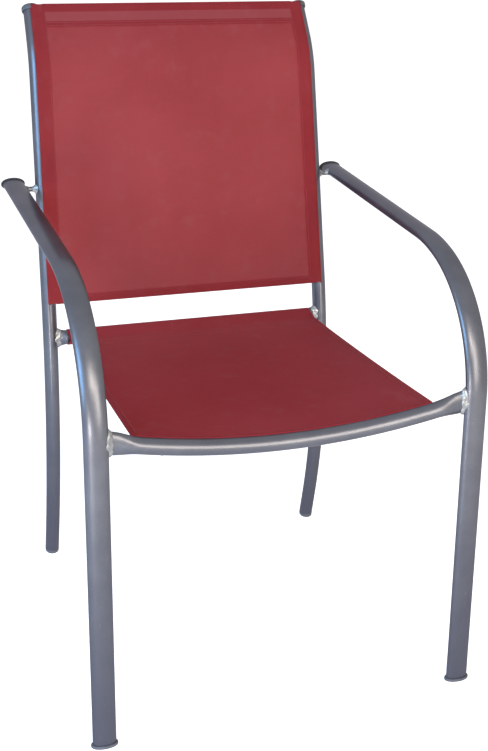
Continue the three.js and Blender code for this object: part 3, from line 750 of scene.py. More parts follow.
def arm_bar_joint(end, sign):
    centre = Vector((sign * arm_bar_middle_x, arm_bar_y, arm_bar_z))

    def section(grow):
        return placed((centre, to_rear, to_top), round_outline(arm_bar_radius + grow))

    if end == "upright":
        return section, to_right * -sign, 0, upright_face(sign, 1)
    arm_face = leg_face(sign, leg_line.length - arm_bar_from_end, arm_half_span)
    return section, to_right * sign, 0, arm_face


for side, sign in sides:
    inner, outer = (arm_bar_joint(end, sign) for end in ("upright", "arm"))
    rings = [fitted(inner, 0), inner[0](0), fitted(outer, 0)]
    Shell().solid(rings).piece(f"{side}_arm_rod", paint, "frame_paint", f"{side}_arm_bar")

# Welds. A fillet of overlapping puddles runs round every joint of the frame, wide on the tube that
# it is welded to and closing in on the other. It is painted with the frame, but its finish has a
# lighter colour than the frame's: a painted highlight.
weld = frame_paint("weld_paint_painted_highlight", (0.38, 0.37, 0.36), (0.19, 0.19, 0.2), (0.2, 0.2, 0.22), 0.28)
weld_steps = 12
weld_least, weld_overlap, weld_sunk = 0.12, 0.35, 0.4
weld_sizes = {
    "front_rail": (3.4, 5.5, 10, 1.7, 0.7, 1.5),
    "arm_bar_upright": (4.2, 5.0, 6, 0.3, 1.0, 0.75),
    "arm_bar_arm": (2.8, 4.6, 6, 0.2, 1.0, 0.75),
    "rear_rail": (3.6, 6.0, 9, 1.5, 0.3, 0.95),
    "top_rail": (1.8, 2.6, 9, 0.5, 0.8, 1.0),
    "seat_tube_front": (1.8, 3.0, 8, 0.45, 1.0, 1.0),
    "seat_tube_rear": (1.8, 3.0, 8, 0.45, 1.0, 1.0),
}


def fillet(joint, leg, long, puddles, lumps, slim, full):
    """A weld round a tube's end: rings that start wide on the face and close in on the tube. leg
    and long are its reach over the face and the tube, puddles and lumps the count and height of
    its ripples, slim its share of leg at the tube's front and back, and full how round it stands."""
    section, run = joint[:2]
    toward = run.normalized()
    inner = fitted(joint, -weld_sunk)
    flat = section(0)
    rings, bores = [], []
    for k in range(weld_steps + 1):
        share = k / weld_steps
        left = (1 - share**full) ** (1 / full)
        ring, backs = [], []
        for n, (near, far) in enumerate(zip(flat, section(leg * left + weld_least))):
            out = far - near
            facing = abs(out.y) / out.length
            puddle = abs(math.sin(math.pi * (puddles * n / len(flat) + 0.4 * share)))
            rough = noise.noise(near * 0.16 + toward * 2 * share)
            swell = lumps * facing * (puddle**0.7 - 0.45 + rough)
            size = leg * left * (1 - facing * (1 - slim)) + swell * math.sqrt(1 - share)
            ring.append(near + out.normalized() * max(size + weld_least, weld_least))
            backs.append(toward * (weld_overlap - (long + swell + weld_overlap) * share))
        rings.append([a + b for a, b in zip(met(ring, joint), backs)])
        bores.append([a + b for a, b in zip(inner, backs)])
    return tube(rings, bores)


for side, sign in sides:
    joints = {"front_rail": front_rail_joint(sign)}
    for end in ("upright", "arm"):
        joints[f"arm_bar_{end}"] = arm_bar_joint(end, sign)
    for rail in straight_rails:
        joints[f"{rail}_rail"] = straight_rail_joint(rail, sign)
    for end in seat_tube_ends:
        joints[f"seat_tube_{end}"] = seat_tube_joint(end, sign)
    for name, joint in joints.items():
        fillet(joint, *weld_sizes[name]).piece(
            f"{side}_{name}_fillet", weld, "weld_metal", f"{side}_{name}_weld", sharp=70
        )

# Feet. Moulded grey plastic: an oval shoe with a rim under each front leg, and a round-nosed plug
# in each rear leg. Both are pushed up into the open end of the tube.


def moulded(name, light, dark, rough):
    """Moulded plastic: a fine grained skin, faint flow marks and scuffs that catch the light."""
    made, spot = new_finish(name, {"Metallic": 0.0, "Specular IOR Level": 0.45})
    grain = spot.cloud(1900, 2.0)
    flow = spot.cloud(55, 3.0)
    scuffs = spot.stretched((90, 90, 320)).cloud(4, 5.0, 0.65).from_to(0.57, 0.7)
    body = flow.from_to(0.3, 0.7).between(dark, light)
    lay_on(
        made,
        {
            "Base Color": (scuffs * 0.2).between(body, [3 * value for value in light]),
            "Roughness": rough + flow * 0.15 + scuffs * 0.15,
            "Normal": grain.relief(0.00004),
        },
    )
    return made


def turned(stations, outlines):
    return Shell().solid([placed(at, outline) for at, outline in zip(stations, outlines)])


def floor_station(x, y, z):
    return Vector((x, y, z)), to_right, -to_rear


def rounding(at, grow, radius, first, count, step):
    """Rows round an edge: their height and growth over the outline, by turn from first on."""
    turns = [first + k * step for k in range(count)]
    return [(at + radius * math.sin(turn), grow + radius * math.cos(turn)) for turn in turns]


grey_plastic = moulded("grey_moulded_plastic", (0.115, 0.111, 0.135), (0.077, 0.075, 0.092), 0.42)
tube_fit = -1.9
edge_step = 0.3
edge_start = edge_step - math.pi / 2
shoe_rows = [(0, 0.2), *rounding(1.3, 1.2, 1.3, edge_start, 5, edge_step), (3.0, 2.5)]
shoe_rows += [*rounding(3.2, 1.3, 1.2, 0, 6, edge_step)]
shoe_rows += [(4.5, 0.2), (4.5, tube_fit), (18.4, tube_fit)]
plug_nose, plug_lift = 5.2, 9.5
plug_rows = [(0, -2.2), *rounding(1.9, -1.9, 1.9, edge_start, 4, edge_step), (plug_nose, 0)]
plug_rows += [(6.3, 0), (6.45, -0.5), (6.45, tube_fit), (20.5, tube_fit)]
for side, sign in sides:
    lean = math.tan(math.radians(leg_lean))
    turned(
        [
            floor_station(sign * arm_half_span, front_foot_y + lean * max(z, leg_start_z), z)
            for z, _ in shoe_rows
        ],
        [leg_outline(grow) for _, grow in shoe_rows],
    ).piece(f"{side}_front_shoe", grey_plastic, "grey_plastic", f"{side}_front_foot_cap", sharp=40)
    lean = math.tan(math.radians(rear_lean))
    stations = []
    for z, _ in plug_rows:
        y = rear_foot_y + lean * max(z, rear_start_z)
        square = -lean * max(1 - z / plug_nose, 0)
        centre, wide, deep = floor_station(sign * half_span(y, z), y, z + plug_lift * square)
        stations.append((centre, wide, deep - to_top * square))
    turned(
        stations, [round_outline(upright_radius + grow, rail_sides) for _, grow in plug_rows]
    ).piece(f"{side}_rear_plug", grey_plastic, "grey_plastic", f"{side}_rear_foot_plug", sharp=40)

# Arm end caps. Thin oval caps of moulded black plastic with a rounded rim, one pushed into the
# open rear end of each arm.
black_plastic = moulded("black_moulded_plastic", (0.03, 0.03, 0.034), (0.018, 0.018, 0.021), 0.4)
rim_step = 0.26
arm_cap_rows = [(-13.5, tube_fit), (0.25, tube_fit), (0.3, 1.6)]
arm_cap_rows += rounding(0.9, 1.6, 0.6, -6 * rim_step, 6, rim_step)
arm_cap_rows += rounding(1.5, 0.1, 2.1, 0, 7, rim_step)
arm_cap_rows += [(3.65, -3.0), (3.5, -4.6)]
for side, sign in sides:
    turned(
        [leg_station(leg_line.length + reach, sign) for reach, _ in arm_cap_rows],
        [leg_outline(grow) for _, grow in arm_cap_rows],
    ).piece(f"{side}_arm_cap", black_plastic, "black_plastic", f"{side}_arm_end_cap", sharp=45)

# Upright caps. Domed caps of moulded grey plastic on top of the uprights: a plug in the tube and
# a short skirt round it, open on the inner side where the back sling runs in.
cap_grey = moulded("cap_grey_plastic", (0.09, 0.088, 0.098), (0.06, 0.059, 0.066), 0.4)
cap_radius, plug_radius, skirt_bore = 13.7, 9.6, 11.7
cap_rows = [(-9.5, plug_radius), (-6.6, plug_radius), (-6.6, 11.8), (-6.9, 12.6), (-6.4, 13.2)]
cap_rows += [(-5.6, 13.6), (-4.4, cap_radius)]
dome_from, dome_high, dome_full, dome_step = -0.6, 4.3, 0.8, 0.15
for turn in (k * dome_step for k in range(10)):
    high = dome_from + dome_high * math.sin(turn)
    cap_rows.append((high, cap_radius * math.cos(turn) ** dome_full))
skirt_room = (-12, 0.3)
window_past_middle, window_in, window_far = 1.4, 11.3, 30
cut_join, cut_sliver = 0.02 * mm, 0.01 * mm


def settled(piece):
    """Works a piece's modifiers into its mesh."""
    graph = bpy.context.evaluated_depsgraph_get()
    piece.data = bpy.data.meshes.new_from_object(piece.evaluated_get(graph))
    piece.modifiers.clear()


def join_close(work):
    """Joins the points that a cut leaves almost in one place."""
    bmesh.ops.remove_doubles(work, verts=work.verts, dist=cut_join)
    bmesh.ops.dissolve_degenerate(work, edges=work.edges, dist=cut_sliver)


def carved(piece, *cutters):
    """Cuts the cutters out of a piece and drops them."""
    for cutter in cutters:
        cut = piece.modifiers.new("cut", "BOOLEAN")
        cut.operation = "DIFFERENCE"
        cut.solver = "EXACT"
        cut.object = cutter
    settled(piece)
    reworked(piece.data, join_close)
    smoothed(piece.data, 32)
    for cutter in cutters:
        bpy.data.objects.remove(cutter)


for side, sign in sides:
    cap = turned(
        [upright_station(upright_end + reach, sign) for reach, _ in cap_rows],
        [round_outline(radius, rail_sides) for _, radius in cap_rows],
    ).piece(f"{side}_upright_cap", cap_grey, "grey_plastic", f"{side}_upright_top_plug", sharp=40)
    ends = [upright_station(upright_end + reach, sign) for reach in skirt_room]
    room = tube(
        [placed(at, round_outline(skirt_bore, rail_sides)) for at in ends],
        [placed(at, round_outline(plug_radius, rail_sides)) for at in ends],
    ).piece("tube_room", cap_grey, "grey_plastic")
    near, far = sign * window_past_middle, -sign * window_far
    window = [(far, window_in), (far, window_far), (near, window_far), (near, window_in)]
    cloth_room = turned(ends, [window, window]).piece("cloth_room", cap_grey, "grey_plastic")
    carved(cap, room, cloth_room)

# Edge cords. Stiff rods of pale plastic, drawn from a die and slid into the hems of the slings.
# They are too thick to leave the slots, and so they hold the slings in the frame.
cord_finish, spot = new_finish("edge_cord_plastic", {"Metallic": 0.0})
lay_on(
    cord_finish,
    {
        "Base Color": spot.cloud(120, 3.0).between((0.5, 0.48, 0.44), (0.66, 0.64, 0.6)),
        "Roughness": 0.4 + spot.cloud(700, 2.0) * 0.2,
        "Normal": spot.cloud(900, 2.0).relief(0.00005),
    },
)
for name in ("left_back_cord", "right_back_cord", "seat_front_cord"):
    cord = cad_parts[name]
    cord.data.materials.clear()
    cord.data.materials.append(cord_finish)

# Back sling. One piece of red PVC-coated polyester mesh, stretched between the uprights. Its
# sides are hemmed round the cords in the slots, its top is sleeved over the top rail and its
# foot is turned up and stitched.
cloth_thick, layer_gap = 0.85, 0.95
warp_pitch, weft_pitch = 0.0012, 0.0014


def sling_cloth(name, red, shade, glow, open_share, doubled_at):
    """Woven mesh of coated yarns: over and under crossings, small holes between them, and a slow
    change of tone from stretch and sun. The yarns are painted darker at their edges and where they
    dive under, a painted shade of the weave, beside the real tone of their slubs. doubled_at gives
    where two layers lie together, painted darker as painted shade where no light comes through, and
    where the rail lies behind them, painted lighter as a painted sheen of the silver rail showing
    through, from the place across and along the flat cloth in metres."""
    made, spot = new_finish(name, {"Specular IOR Level": 0.1})
    lay = spot.node("ShaderNodeUVMap", {"uv_map": "weave"}, {})
    across, along = lay.part(0), lay.part(1)
    warp = (across * (math.pi / warp_pitch)).sine()
    weft = (along * (math.pi / weft_pitch)).sine()
    over = warp * weft * 0.5 + 0.5
    warp_thread = warp.size()
    weft_thread = weft.size()
    threads = (warp_thread * (0.65 + over * 0.35)).most(weft_thread * (1 - over * 0.35))
    holes = (1 - warp_thread) * (1 - weft_thread)
    slub = lay.stretched((900, 26, 1)).cloud(1, 3.0) * 0.5
    slub = slub + lay.stretched((22, 760, 1)).cloud(1, 3.0) * 0.5
    tone = spot.cloud(5, 3.0, 0.55)
    dust = spot.cloud(38, 5.0, 0.65).from_to(0.5, 0.8)
    # Yarn colour: painted shade at the yarns' edges and under the crossings, and the slubs' own tone.
    yarn = (threads * 0.5 + slub.from_to(0.25, 0.75) * 0.5).between(shade, red)
    faded = (tone.from_to(0.3, 0.75) * 0.4).between(yarn, glow)
    dusty = (dust * 0.05).between(faded, (0.42, 0.33, 0.32))
    # Where two layers lie together the cloth is painted darker: painted shade where no light comes
    # through.
    doubled, over_rail = doubled_at(across, along)
    # Over the top rail the cloth is painted lighter: a painted sheen of the rail seen through it.
    rail_sheen_painted = (over_rail * (1 - doubled) * 0.5).between(dusty, (0.32, 0.078, 0.084))
    lay_on(
        made,
        {
            "Base Color": (doubled * 0.24).between(rail_sheen_painted, (0.17, 0.012, 0.018)),
            "Roughness": 0.62 + slub * 0.2 + tone * 0.12 - threads * 0.1,
            "Alpha": 1 - open_share * (0.7 + holes * 2.2 + slub * 0.2),
            "Normal": threads.relief(0.00012, slub.relief(0.00007)),
        },
    )
    return made


def drop_loose(work):
    """Drops the points that no face uses."""
    loose = [vert for vert in work.verts if not vert.link_faces]
    bmesh.ops.delete(work, geom=loose, context="VERTS")


def woven(name, net, cuts, finish, *nodes):
    """A cloth from a net of points, each with its place on the flat cut, given its thickness."""
    order = {key: k for k, key in enumerate(net)}
    faces = []
    for column, row in net:
        corners = [(column, row), (column + 1, row), (column + 1, row + 1), (column, row + 1)]
        if (column, row) not in cuts and all(corner in order for corner in corners):
            faces.append([order[corner] for corner in corners])
    mesh = bpy.data.meshes.new(name)
    mesh.from_pydata([point * mm for point, _ in net.values()], [], faces)
    flat = mesh.uv_layers.new(name="weave")
    lays = [lay for _, lay in net.values()]
    for loop in mesh.loops:
        across, along = lays[loop.vertex_index]
        flat.data[loop.index].uv = (across * mm, along * mm)
    reworked(mesh, drop_loose)
    mesh.materials.append(finish)
    made = stood(name, mesh)
    body = made.modifiers.new("body", "SOLIDIFY")
    body.thickness = cloth_thick * mm
    body.offset = 0
    body.use_even_offset = True
    settled(made)
    smoothed(made.data, 50)
    return seated(made, nodes)


stitch_pitch, stitch_long, stitch_thick, stitch_first = 4.4, 3.0, 0.38, 0.5
stitch_shares = ((0, 0.45), (0.12, 0.85), (0.5, 1), (0.88, 0.85), (1, 0.45))


def stitched(shell, path, up_at):
    """Rows of stitches along a path on the cloth: each is a short raised loop of thread."""
    steps = [(b - a).length for a, b in zip(path, path[1:])]
    for n in range(int(sum(steps) / stitch_pitch)):
        ends = []
        begun = n * stitch_pitch + stitch_first
        for want in (begun, begun + stitch_long):
            k, passed = 0, 0.0
            while k < len(steps) - 1 and passed + steps[k] < want:
                passed += steps[k]
                k += 1
            ends.append(path[k].lerp(path[k + 1], min((want - passed) / steps[k], 1)))
        first, second = ends
        up = up_at(first)
        across = (second - first).normalized().cross(up).normalized()
        rings = []
        for share, wide in stitch_shares:
            lift = 0.5 * math.sin(math.pi * share) * stitch_thick
            at = (first.lerp(second, share) + up * lift, across, up)
            rings.append(placed(at, round_outline(stitch_thick * wide, 6)))
        shell.solid(rings)


def past(place, line, soft=0.0004):
    """1 where a place on the flat cloth is past a line, 0 where it is before it."""
    return place.from_to(line - soft, line + soft)


def back_doubled(across, along):
    """The side hems, the turned foot, and the sleeve over the top rail with its lap below."""
    side = past(across.size() + along * hem_taper, hem_line)
    foot = 1 - past(along, foot_line)
    fold = past(along, fold_line, 0.0006)
    lap = past(along, lap_line) - past(along, lap_end_line, 0.0005)
    return side.most(foot).most(fold).most(lap), past(along, lap_line + 0.0002, 0.0002)


hem_width, hem_seen, hem_taper = 22.5, 20.8, 0.0165
foot_turn = 12.5
fold_below_end, lap_below_end, lap_wide = 14, 39, 9.5
first_seam_below, last_seam_below, foot_seam_above = 32, 36.5, 10
hem_line = (half_span_at(cloth_start) - hem_seen + cloth_start * hem_taper) * mm
foot_line = (cloth_start + foot_turn) * mm
fold_line = (upright_end - fold_below_end) * mm
lap_line = (upright_end - lap_below_end) * mm
lap_end_line = lap_line + lap_wide * mm
red_cloth = sling_cloth(
    "red_sling_mesh",
    (0.314, 0.028, 0.031),
    (0.228, 0.018, 0.021),
    (0.385, 0.05, 0.055),
    0.11,
    back_doubled,
)
thread, spot = new_finish("red_thread", {"Sheen Weight": 0.2})
lay_on(
    thread,
    {
        "Base Color": spot.cloud(600, 3.0).between((0.2, 0.014, 0.02), (0.33, 0.03, 0.04)),
        "Roughness": 0.55 + spot.cloud(800, 2.0) * 0.25,
        "Normal": spot.stretched((1, 1, 3)).cloud(1600, 2.0).relief(0.0001),
    },
)
cloth_out = 12.35
cord_out = 5.7
neck_half = 0.58
neck_out = 9.2
loop_radius, loop_turn, loop_steps = 3.15, 340, 14
edge_bulge = {-1: 2.3, 1: 0.7}
edge_rise, edge_rise_wide = 0.5, 14
top_below_end = 0.9
top_stop = upright_end - top_below_end
hem_stop = upright_end - fold_below_end
sleeve_inset = 15.6
sleeve_half = half_span_at(upright_end) - sleeve_inset
half_columns, hem_columns = 38, 3
row_step, hem_step = 8, 1.3


def back_swell(x, reach):
    """How far the taut cloth stands out of its plane: shallow pulls that run up and down it."""
    edge = held((half_span_at(reach) - 8 - abs(x)) / 45)
    ends = held((upright_end - 50 - reach) / 60) * min((reach - cloth_start) / 30, 1)
    pull = noise.noise(Vector((x / 34, reach / 260, 3.1)))
    pull += 0.6 * noise.noise(Vector((x / 80, reach / 120, 9.4)))
    return 0.9 * edge * max(ends, 0) * pull


def back_point(x, reach, out):
    y, z, heading = upright_line.at(reach)
    return Vector((x, y - out * math.cos(heading), z + out * math.sin(heading)))


def back_out(x, reach):
    near = eased(1 - (half_span_at(reach) - abs(x)) / edge_rise_wide)
    return cloth_out + edge_rise * near + back_swell(x, reach)


def hem_loop(sign):
    """The hem's loop round its cord, from one side of the neck to the other."""
    start = math.radians(90 + (360 - loop_turn) / 2)
    turns = spaced(start, start + math.radians(loop_turn), loop_steps)
    return [(sign * loop_radius * math.cos(turn), loop_radius * math.sin(turn)) for turn in turns]


def side_hem(reach, sign):
    """The cloth's section at one edge, from the main sheet over the edge of the slot, round the
    cord and back under the sheet to the end of the hem: how far in and how far out."""
    bulge = edge_bulge[sign]
    section = [(-bulge + 0.15, cloth_out + 0.2), (-bulge, cloth_out - 0.25)]
    section += [(-bulge / 2 - 0.3, 11.2), (-neck_half - 0.04, 10.4), (-neck_half, neck_out)]
    section += [(u, cord_out + v) for u, v in hem_loop(1)]
    section += [(neck_half, neck_out), (0.6, 10.6), (0.9, 11.5), (2.2, 11.86)]
    for inset in (4, 6, 9, 13, 16, 18, hem_width - bulge):
        x = half_span_at(reach) - inset
        section.append((inset, back_out(x, reach) - layer_gap))
    return section


def back_rows():
    """Rows up the back: the turned foot, its fold and the main sheet, each with its depth."""
    rows = []
    fold = 0.5
    lowest = cloth_start + fold + 0.1
    for reach in spaced(cloth_start + foot_turn, lowest, 4):
        rows.append(("foot", reach, 1.0))
    for degrees in (-60, -25, 25, 60):
        turn = math.radians(degrees)
        reach = cloth_start + fold - fold * math.cos(turn)
        rows.append(("foot", reach, 0.5 - 0.5 * math.sin(turn)))
    for reach in spaced(lowest, top_stop, int((top_stop - cloth_start) / row_step)):
        rows.append(("main", reach, 0.0))
    return rows


def sleeve_arc(first, last, radius, steps):
    """A sleeve's way round a rail at 0, 0, from where a line from first meets it to where it
    leaves for last."""
    start = math.atan2(first[1], first[0]) - math.acos(radius / math.hypot(*first))
    stop = math.atan2(last[1], last[0]) + math.acos(radius / math.hypot(*last)) - 2 * math.pi
    turns = spaced(start, stop, steps)
    return [(radius * math.cos(turn), radius * math.sin(turn)) for turn in turns]


def sleeve_profile():
    """From the top fold down behind the top rail and back to the seam: along the upright from its
    end, and out from its centreline."""
    centre, radius = -top_rail_below_end, top_rail_radius + 0.3 + cloth_thick / 2
    inner_out = cloth_out - layer_gap
    top, seam = (-top_below_end, inner_out), (-first_seam_below, inner_out)
    arc = [
        (centre + along, out)
        for along, out in sleeve_arc(
            (top[0] - centre, top[1]), (seam[0] - centre, seam[1]), radius, 24
        )
    ]
    profile = [(-0.35, cloth_out - 0.15), (-0.2, cloth_out - 0.5), (-0.4, cloth_out - 0.8), top]
    for k in range(1, 4):
        profile.append([a + (b - a) * k / 4 for a, b in zip(top, arc[0])])
    profile += arc
    for k in range(1, 5):
        profile.append([a + (b - a) * k / 4 for a, b in zip(arc[-1], seam)])
    return profile + [(-below, inner_out) for below in (34, last_seam_below, lap_below_end)]


def column_x(column, reach):
    """Main columns: evenly spread, with one at each end of the sleeve."""
    sign = math.copysign(1, column)
    edge = half_span_at(reach)
    inner = sleeve_half + edge - half_span_at(upright_end)
    inner_columns = half_columns - hem_columns
    if abs(column) <= inner_columns:
        return sign * inner * abs(column) / inner_columns
    return sign * (inner + (edge - inner) * (abs(column) - inner_columns) / hem_columns)


net = {}
rows = back_rows()
for r, (kind, reach, depth) in enumerate(rows):
    edge = half_span_at(reach)
    for column in range(-half_columns, half_columns + 1):
        x = column_x(column, reach)
        if kind == "foot" and abs(x) > edge - 6:
            continue
        sunk = layer_gap * depth * (2 if abs(x) > edge - hem_width - 1 else 1)
        lay = (x, reach if kind == "main" else 2 * cloth_start - reach)
        net[column, r] = back_point(x, reach, back_out(x, reach) - sunk), lay
    if kind == "foot":
        continue
    for sign in (-1, 1):
        hem = side_hem(reach, sign)
        for k, (inset, out) in enumerate(hem[:2] if reach > hem_stop else hem):
            point = back_point(sign * (edge - inset), reach, out)
            net[sign * (half_columns + 1 + k), r] = point, (sign * (edge + hem_step * k), reach)
along = top_stop
before = (-top_below_end, cloth_out)
for k, (up, out) in enumerate(sleeve_profile()):
    along += math.hypot(up - before[0], out - before[1])
    before = (up, out)
    for column in range(hem_columns - half_columns, half_columns - hem_columns + 1):
        x = column_x(column, upright_end)
        net[column, len(rows) + k] = back_point(x, upright_end + up, out), (x, along)
back_cloth = woven("back_sling_cloth", net, set(), red_cloth, "back_sling")
stitch_lift = cloth_thick / 2 + 0.05
side_seam_inset, row_seam_inset = 18.5, 19.5
seam_start = cloth_start + 4


def back_up(point):
    reach, _ = upright_line.nearest(point.y, point.z, 500)
    heading = upright_line.at(reach)[2]
    return Vector((0, -math.cos(heading), math.sin(heading)))


def on_back(x, reach):
    return back_point(x, reach, back_out(x, reach) + stitch_lift)


shell = Shell()
reaches = spaced(seam_start, hem_stop, 90)
for sign in (-1, 1):
    path = [on_back(sign * (half_span_at(reach) - side_seam_inset), reach) for reach in reaches]
    stitched(shell, path, back_up)
seam_reaches = [upright_end - below for below in (first_seam_below, last_seam_below)]
for reach in (cloth_start + foot_seam_above, *seam_reaches):
    wide = half_span_at(reach) - row_seam_inset
    stitched(shell, [on_back(x, reach) for x in spaced(-wide, wide, 120)], back_up)
back_thread = shell.piece("back_sling_stitching", thread, "sling_cloth", sharp=60)

# Seat sling. The same red mesh, its front edge hemmed round a cord in the slot of the front rail,
# its rear edge sleeved round the rear rail, with narrow turned hems along its two free sides.
seat_front_edges = (-218.6, 205.0)
seat_rear_edges = (-202.7, 209.0)
seat_depth = rear_rail_y - rail_y
seat_rows = 46
seat_roll = ((0, 11.7), (20, 12.3), (45, 12.75), (70, 12.95))
sheet_out, sheet_in = 13.0, 1.6
sleeve_seam = (-31.0, 6.0)
notch_half, notch_spare = 13, 0.5
notch_below, notch_behind = 3.3, 5.6


def spread(edges, share):
    return edges[0] + (edges[1] - edges[0]) * share


def seat_x(share, y, centre_y):
    front, rear = spread(seat_front_edges, share), spread(seat_rear_edges, share)
    return front + (rear - front) * (y - centre_y) / seat_depth


def seat_swell(share, into):
    """The sheet's own shape between the rails: a shallow sag, and soft pulls that run to the rear."""
    edge = min(share, 1 - share)
    pull = noise.noise(Vector((share * 7, into * 1.3, 4.7)))
    pull += 0.5 * noise.noise(Vector((share * 3, into * 3, 8.2)))
    sag = 4 * into * (1 - into)
    return -sag * (2.2 + 1.2 * (1 - (2 * share - 1) ** 2)) + 0.8 * pull * sag * min(edge * 12, 1)


def seat_profile(share):
    """The seat sling's section, front to rear, as y and z, with the part of it each point is in."""
    centre = front_rail_at(spread(seat_front_edges, share))[0]
    rail = Vector((centre.y, centre.z))
    out = Vector((math.sin(rail_slot_turn), math.cos(rail_slot_turn)))
    lie = Vector((out.y, -out.x))
    neck = [(10.9, 0.6), (9.0, neck_half)]
    section = [("hem", rail + out * far + lie * off) for far, off in neck]
    core = rail + out * (rail_radius - cord_out)
    section += [("hem", core + lie * u + out * v) for u, v in hem_loop(-1)]
    section += [("hem", rail + out * far - lie * off) for far, off in reversed(neck)]
    for turn, far in seat_roll:
        shift = -0.6 + 1.3 * (1 - math.cos(math.radians(turn)))
        section.append(("roll", rail + out * far + lie * shift))
    start = rail + out * sheet_out + lie * sheet_in
    seam = Vector((rear_rail_y + sleeve_seam[0], rear_rail_z + sleeve_seam[1]))

    def sheet_at(into, drop):
        return start.lerp(seam, into) + Vector((0, seat_swell(share, into) - drop))

    section += [("main", sheet_at(into, 0)) for into in spaced(0, 1, seat_rows)]
    rear = Vector((rear_rail_y, rear_rail_z))
    radius = rear_rail_radius + 0.3 + cloth_thick / 2
    arc = [rear + Vector(point) for point in sleeve_arc(sleeve_seam, sleeve_seam, radius, 32)]
    end = seam - Vector((0, layer_gap))
    section += [("over", seam.lerp(arc[0], k / 4)) for k in (1, 2, 3)]
    section += [("sleeve", point) for point in arc]
    section += [("sleeve", arc[-1].lerp(end, k / 4)) for k in (1, 2, 3, 4)]
    section += [("lap", sheet_at(1 - 4 * k / seat_depth, layer_gap)) for k in (1, 2, 3)]
    return section, centre.y


middle_section = seat_profile(0.5)[0]
main_rows = [r for r, (kind, _) in enumerate(middle_section) if kind == "main"]
roll = [point for _, point in middle_section[: main_rows[0]]]
roll_end = sum((second - first).length for first, second in zip(roll, roll[1:])) * mm
left_hem_line, left_lean = -0.209, 0.032
right_hem_line, right_lean = 0.194, 0.008


def seat_doubled(across, along):
    """The narrow hems along the two free sides, and the roll over the front rail's slot."""
    left = 1 - past(across - along * left_lean, left_hem_line, 0.0005)
    sides = left.most(past(across - along * right_lean, right_hem_line, 0.0005))
    roll = 1 - past(along, roll_end + 0.001, 0.002)
    return (sides * 0.4).most(roll * 1.9), 0.0


def notched(x):
    return abs(abs(x) - seat_tube_x) < notch_half + notch_spare


# The seat's copy of the red mesh has its own colours, a lighter red than the back's copy: painted light
# that makes up for how light falls on the seat.
seat_relit_red_cloth = sling_cloth(
    "red_seat_mesh",
    (0.362, 0.028, 0.034),
    (0.26, 0.02, 0.024),
    (0.42, 0.045, 0.054),
    0.03,
    seat_doubled,
)
seat_columns, least_between = 64, 0.002
columns = set(spaced(0, 1, seat_columns))
for place in (seat_tube_x - notch_half, seat_tube_x + notch_half):
    for x in (-place, place):
        columns.add((x - seat_rear_edges[0]) / (seat_rear_edges[1] - seat_rear_edges[0]))
columns = sorted(columns)
columns = [a for a, b in zip(columns, columns[1:] + [2]) if b - a > least_between]
net, cuts = {}, set()
for c, share in enumerate(columns):
    section, centre_y = seat_profile(share)
    after = columns[min(c + 1, len(columns) - 1)]
    along = 0.0
    for r, (kind, point) in enumerate(section):
        if r:
            along += (point - section[r - 1][1]).length
        x = seat_x(share, point.x, centre_y)
        net[c, r] = Vector((x, point.x, point.y)), (x, along)
        low = point.y < rear_rail_z - notch_below and point.x < rear_rail_y + notch_behind
        if kind == "sleeve" and low and notched(x) and notched(seat_x(after, point.x, centre_y)):
            cuts.add((c, r))
seat_width = seat_front_edges[1] - seat_front_edges[0]
turn_rows_spared = 3
turn_rows = [(-0.3, 0.25), (-0.42, 0.5), (-0.3, 0.75), (0.2, 1), (3, 1), (6, 1), (9, 1), (11, 1)]
for edge, c, inward in ((0.0, 0, 1), (1.0, len(columns) - 1, -1)):
    centre_y = seat_profile(edge)[1]
    for k, (inset, depth) in enumerate(turn_rows):
        near = seat_profile(edge + inward * max(inset, 0) / seat_width)[0]
        column = c - inward * (k + 1)
        for r in main_rows[:-turn_rows_spared]:
            point = near[r][1]
            x = seat_x(edge, point.x, centre_y) + inward * inset
            sunk = Vector((x, point.x, point.y - layer_gap * depth))
            net[column, r] = sunk, (x - 2 * inward * inset, net[c, r][1][1])
seat_cloth = woven("seat_sling_cloth", net, cuts, seat_relit_red_cloth, "seat_sling")
seam_inset, seam_inset_share = 8.5, 8.5 / 420


def on_seat(point, x):
    return Vector((x, point.x, point.y + stitch_lift))


def seat_up(point):
    return to_top


shell = Shell()
for edge, inward in ((0.0, 1), (1.0, -1)):
    near, centre_y = seat_profile(edge + inward * seam_inset_share)
    path = []
    for r in main_rows[1:-1]:
        x = seat_x(edge, near[r][1].x, centre_y) + inward * seam_inset
        path.append(on_seat(near[r][1], x))
    stitched(shell, path, seat_up)
for back in (1, 3):
    path = []
    for share in spaced(0, 1, 80)[1:-1]:
        section, centre_y = seat_profile(share)
        point = section[main_rows[-1 - back]][1]
        path.append(on_seat(point, seat_x(share, point.x, centre_y)))
    stitched(shell, path, seat_up)
seat_thread = shell.piece("seat_sling_stitching", thread, "sling_cloth", sharp=60)

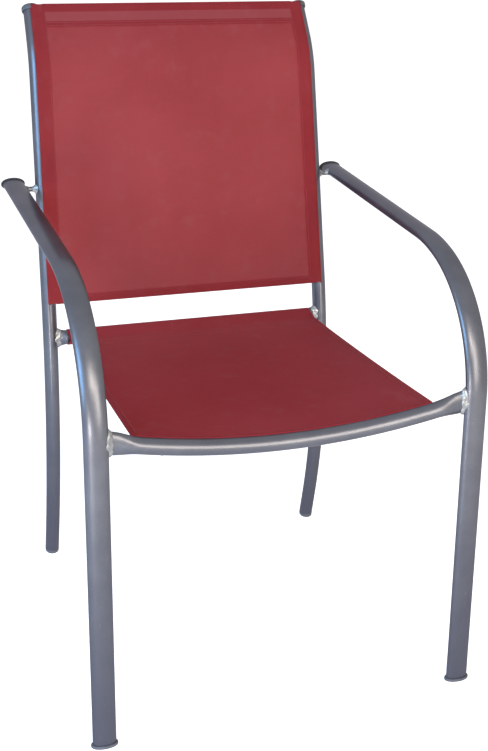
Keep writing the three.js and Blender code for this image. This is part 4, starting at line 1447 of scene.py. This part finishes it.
# The studio: a plain white floor, a white surround that sheds soft light from behind the
# chair, four broad lamps before it, and a small low one whose streak runs down the front legs.
floor_half, floor_below, floor_glow = 30, 0.0004, 0.86
corners = ((-1, -1), (1, -1), (1, 1), (-1, 1))
floor_mesh = bpy.data.meshes.new("floor")
floor_mesh.from_pydata([(x * floor_half, y * floor_half, 0) for x, y in corners], [], [(0, 1, 2, 3)])
floor = stood("floor", floor_mesh)
floor.location.z = -floor_below
floor_paint, spot = new_finish(
    "studio_floor",
    {
        "Base Color": (0.8, 0.8, 0.8, 1),
        "Roughness": 0.9,
        "Specular IOR Level": 0.0,
        "Emission Color": (1, 1, 1, 1),
    },
)
floor_mesh.materials.append(floor_paint)


def seen_rays(start):
    """1 for the rays that show the backdrop to the camera, straight, mirrored or through glass."""
    seen = start.node("ShaderNodeLightPath", {}, {}, "Is Camera Ray")
    seen = seen.most(start.node("ShaderNodeLightPath", {}, {}, "Is Glossy Ray"))
    return seen.most(start.node("ShaderNodeLightPath", {}, {}, "Is Transmission Ray"))


lay_on(floor_paint, {"Emission Strength": seen_rays(spot) * floor_glow})
world = bpy.data.worlds.new("surround")
world.use_nodes = True
bpy.context.scene.world = world
backdrop = world.node_tree.nodes["Background"]
way = Shade(world.node_tree).node("ShaderNodeTexCoord", {}, {}, "Generated")
shed = (way.part(1) - way.part(2) * 0.8).from_to(-0.1, 0.9)
shed = shed.between((0.22, 0.22, 0.23), (1.6, 1.57, 1.53))
seen = seen_rays(way).between(shed, (1.0, 1.0, 1.0))
world.node_tree.links.new(seen.socket, backdrop.inputs["Color"])
chair_middle = Vector((0, 0, 0.45))
for name, spot_at, wide, tall, power, colour in (
    ("key_lamp", (-1.6, -3.1, 0.95), 0.8, 1.7, 5, (1.0, 0.95, 0.88)),
    ("low_lamp", (-0.85, -2.2, 0.22), 0.4, 0.36, 14, (1.0, 0.96, 0.9)),
    ("sky_lamp", (-2.7, -1.6, 1.9), 1.9, 1.9, 120, (0.26, 0.6, 1.0)),
    ("high_lamp", (0.2, -3.0, 2.2), 0.7, 0.7, 32, (1.0, 0.9, 0.72)),
    ("side_lamp", (0.95, -3.0, 1.2), 0.7, 1.7, 42, (1.0, 0.92, 0.76)),
):
    lamp_data = bpy.data.lights.new(name, "AREA")
    lamp_data.shape = "RECTANGLE"
    lamp_data.size = wide
    lamp_data.size_y = tall
    lamp_data.energy = power
    lamp_data.color = colour
    lamp = stood(name, lamp_data)
    lamp.location = spot_at
    lamp.rotation_euler = (chair_middle - Vector(spot_at)).to_track_quat("-Z", "Y").to_euler()
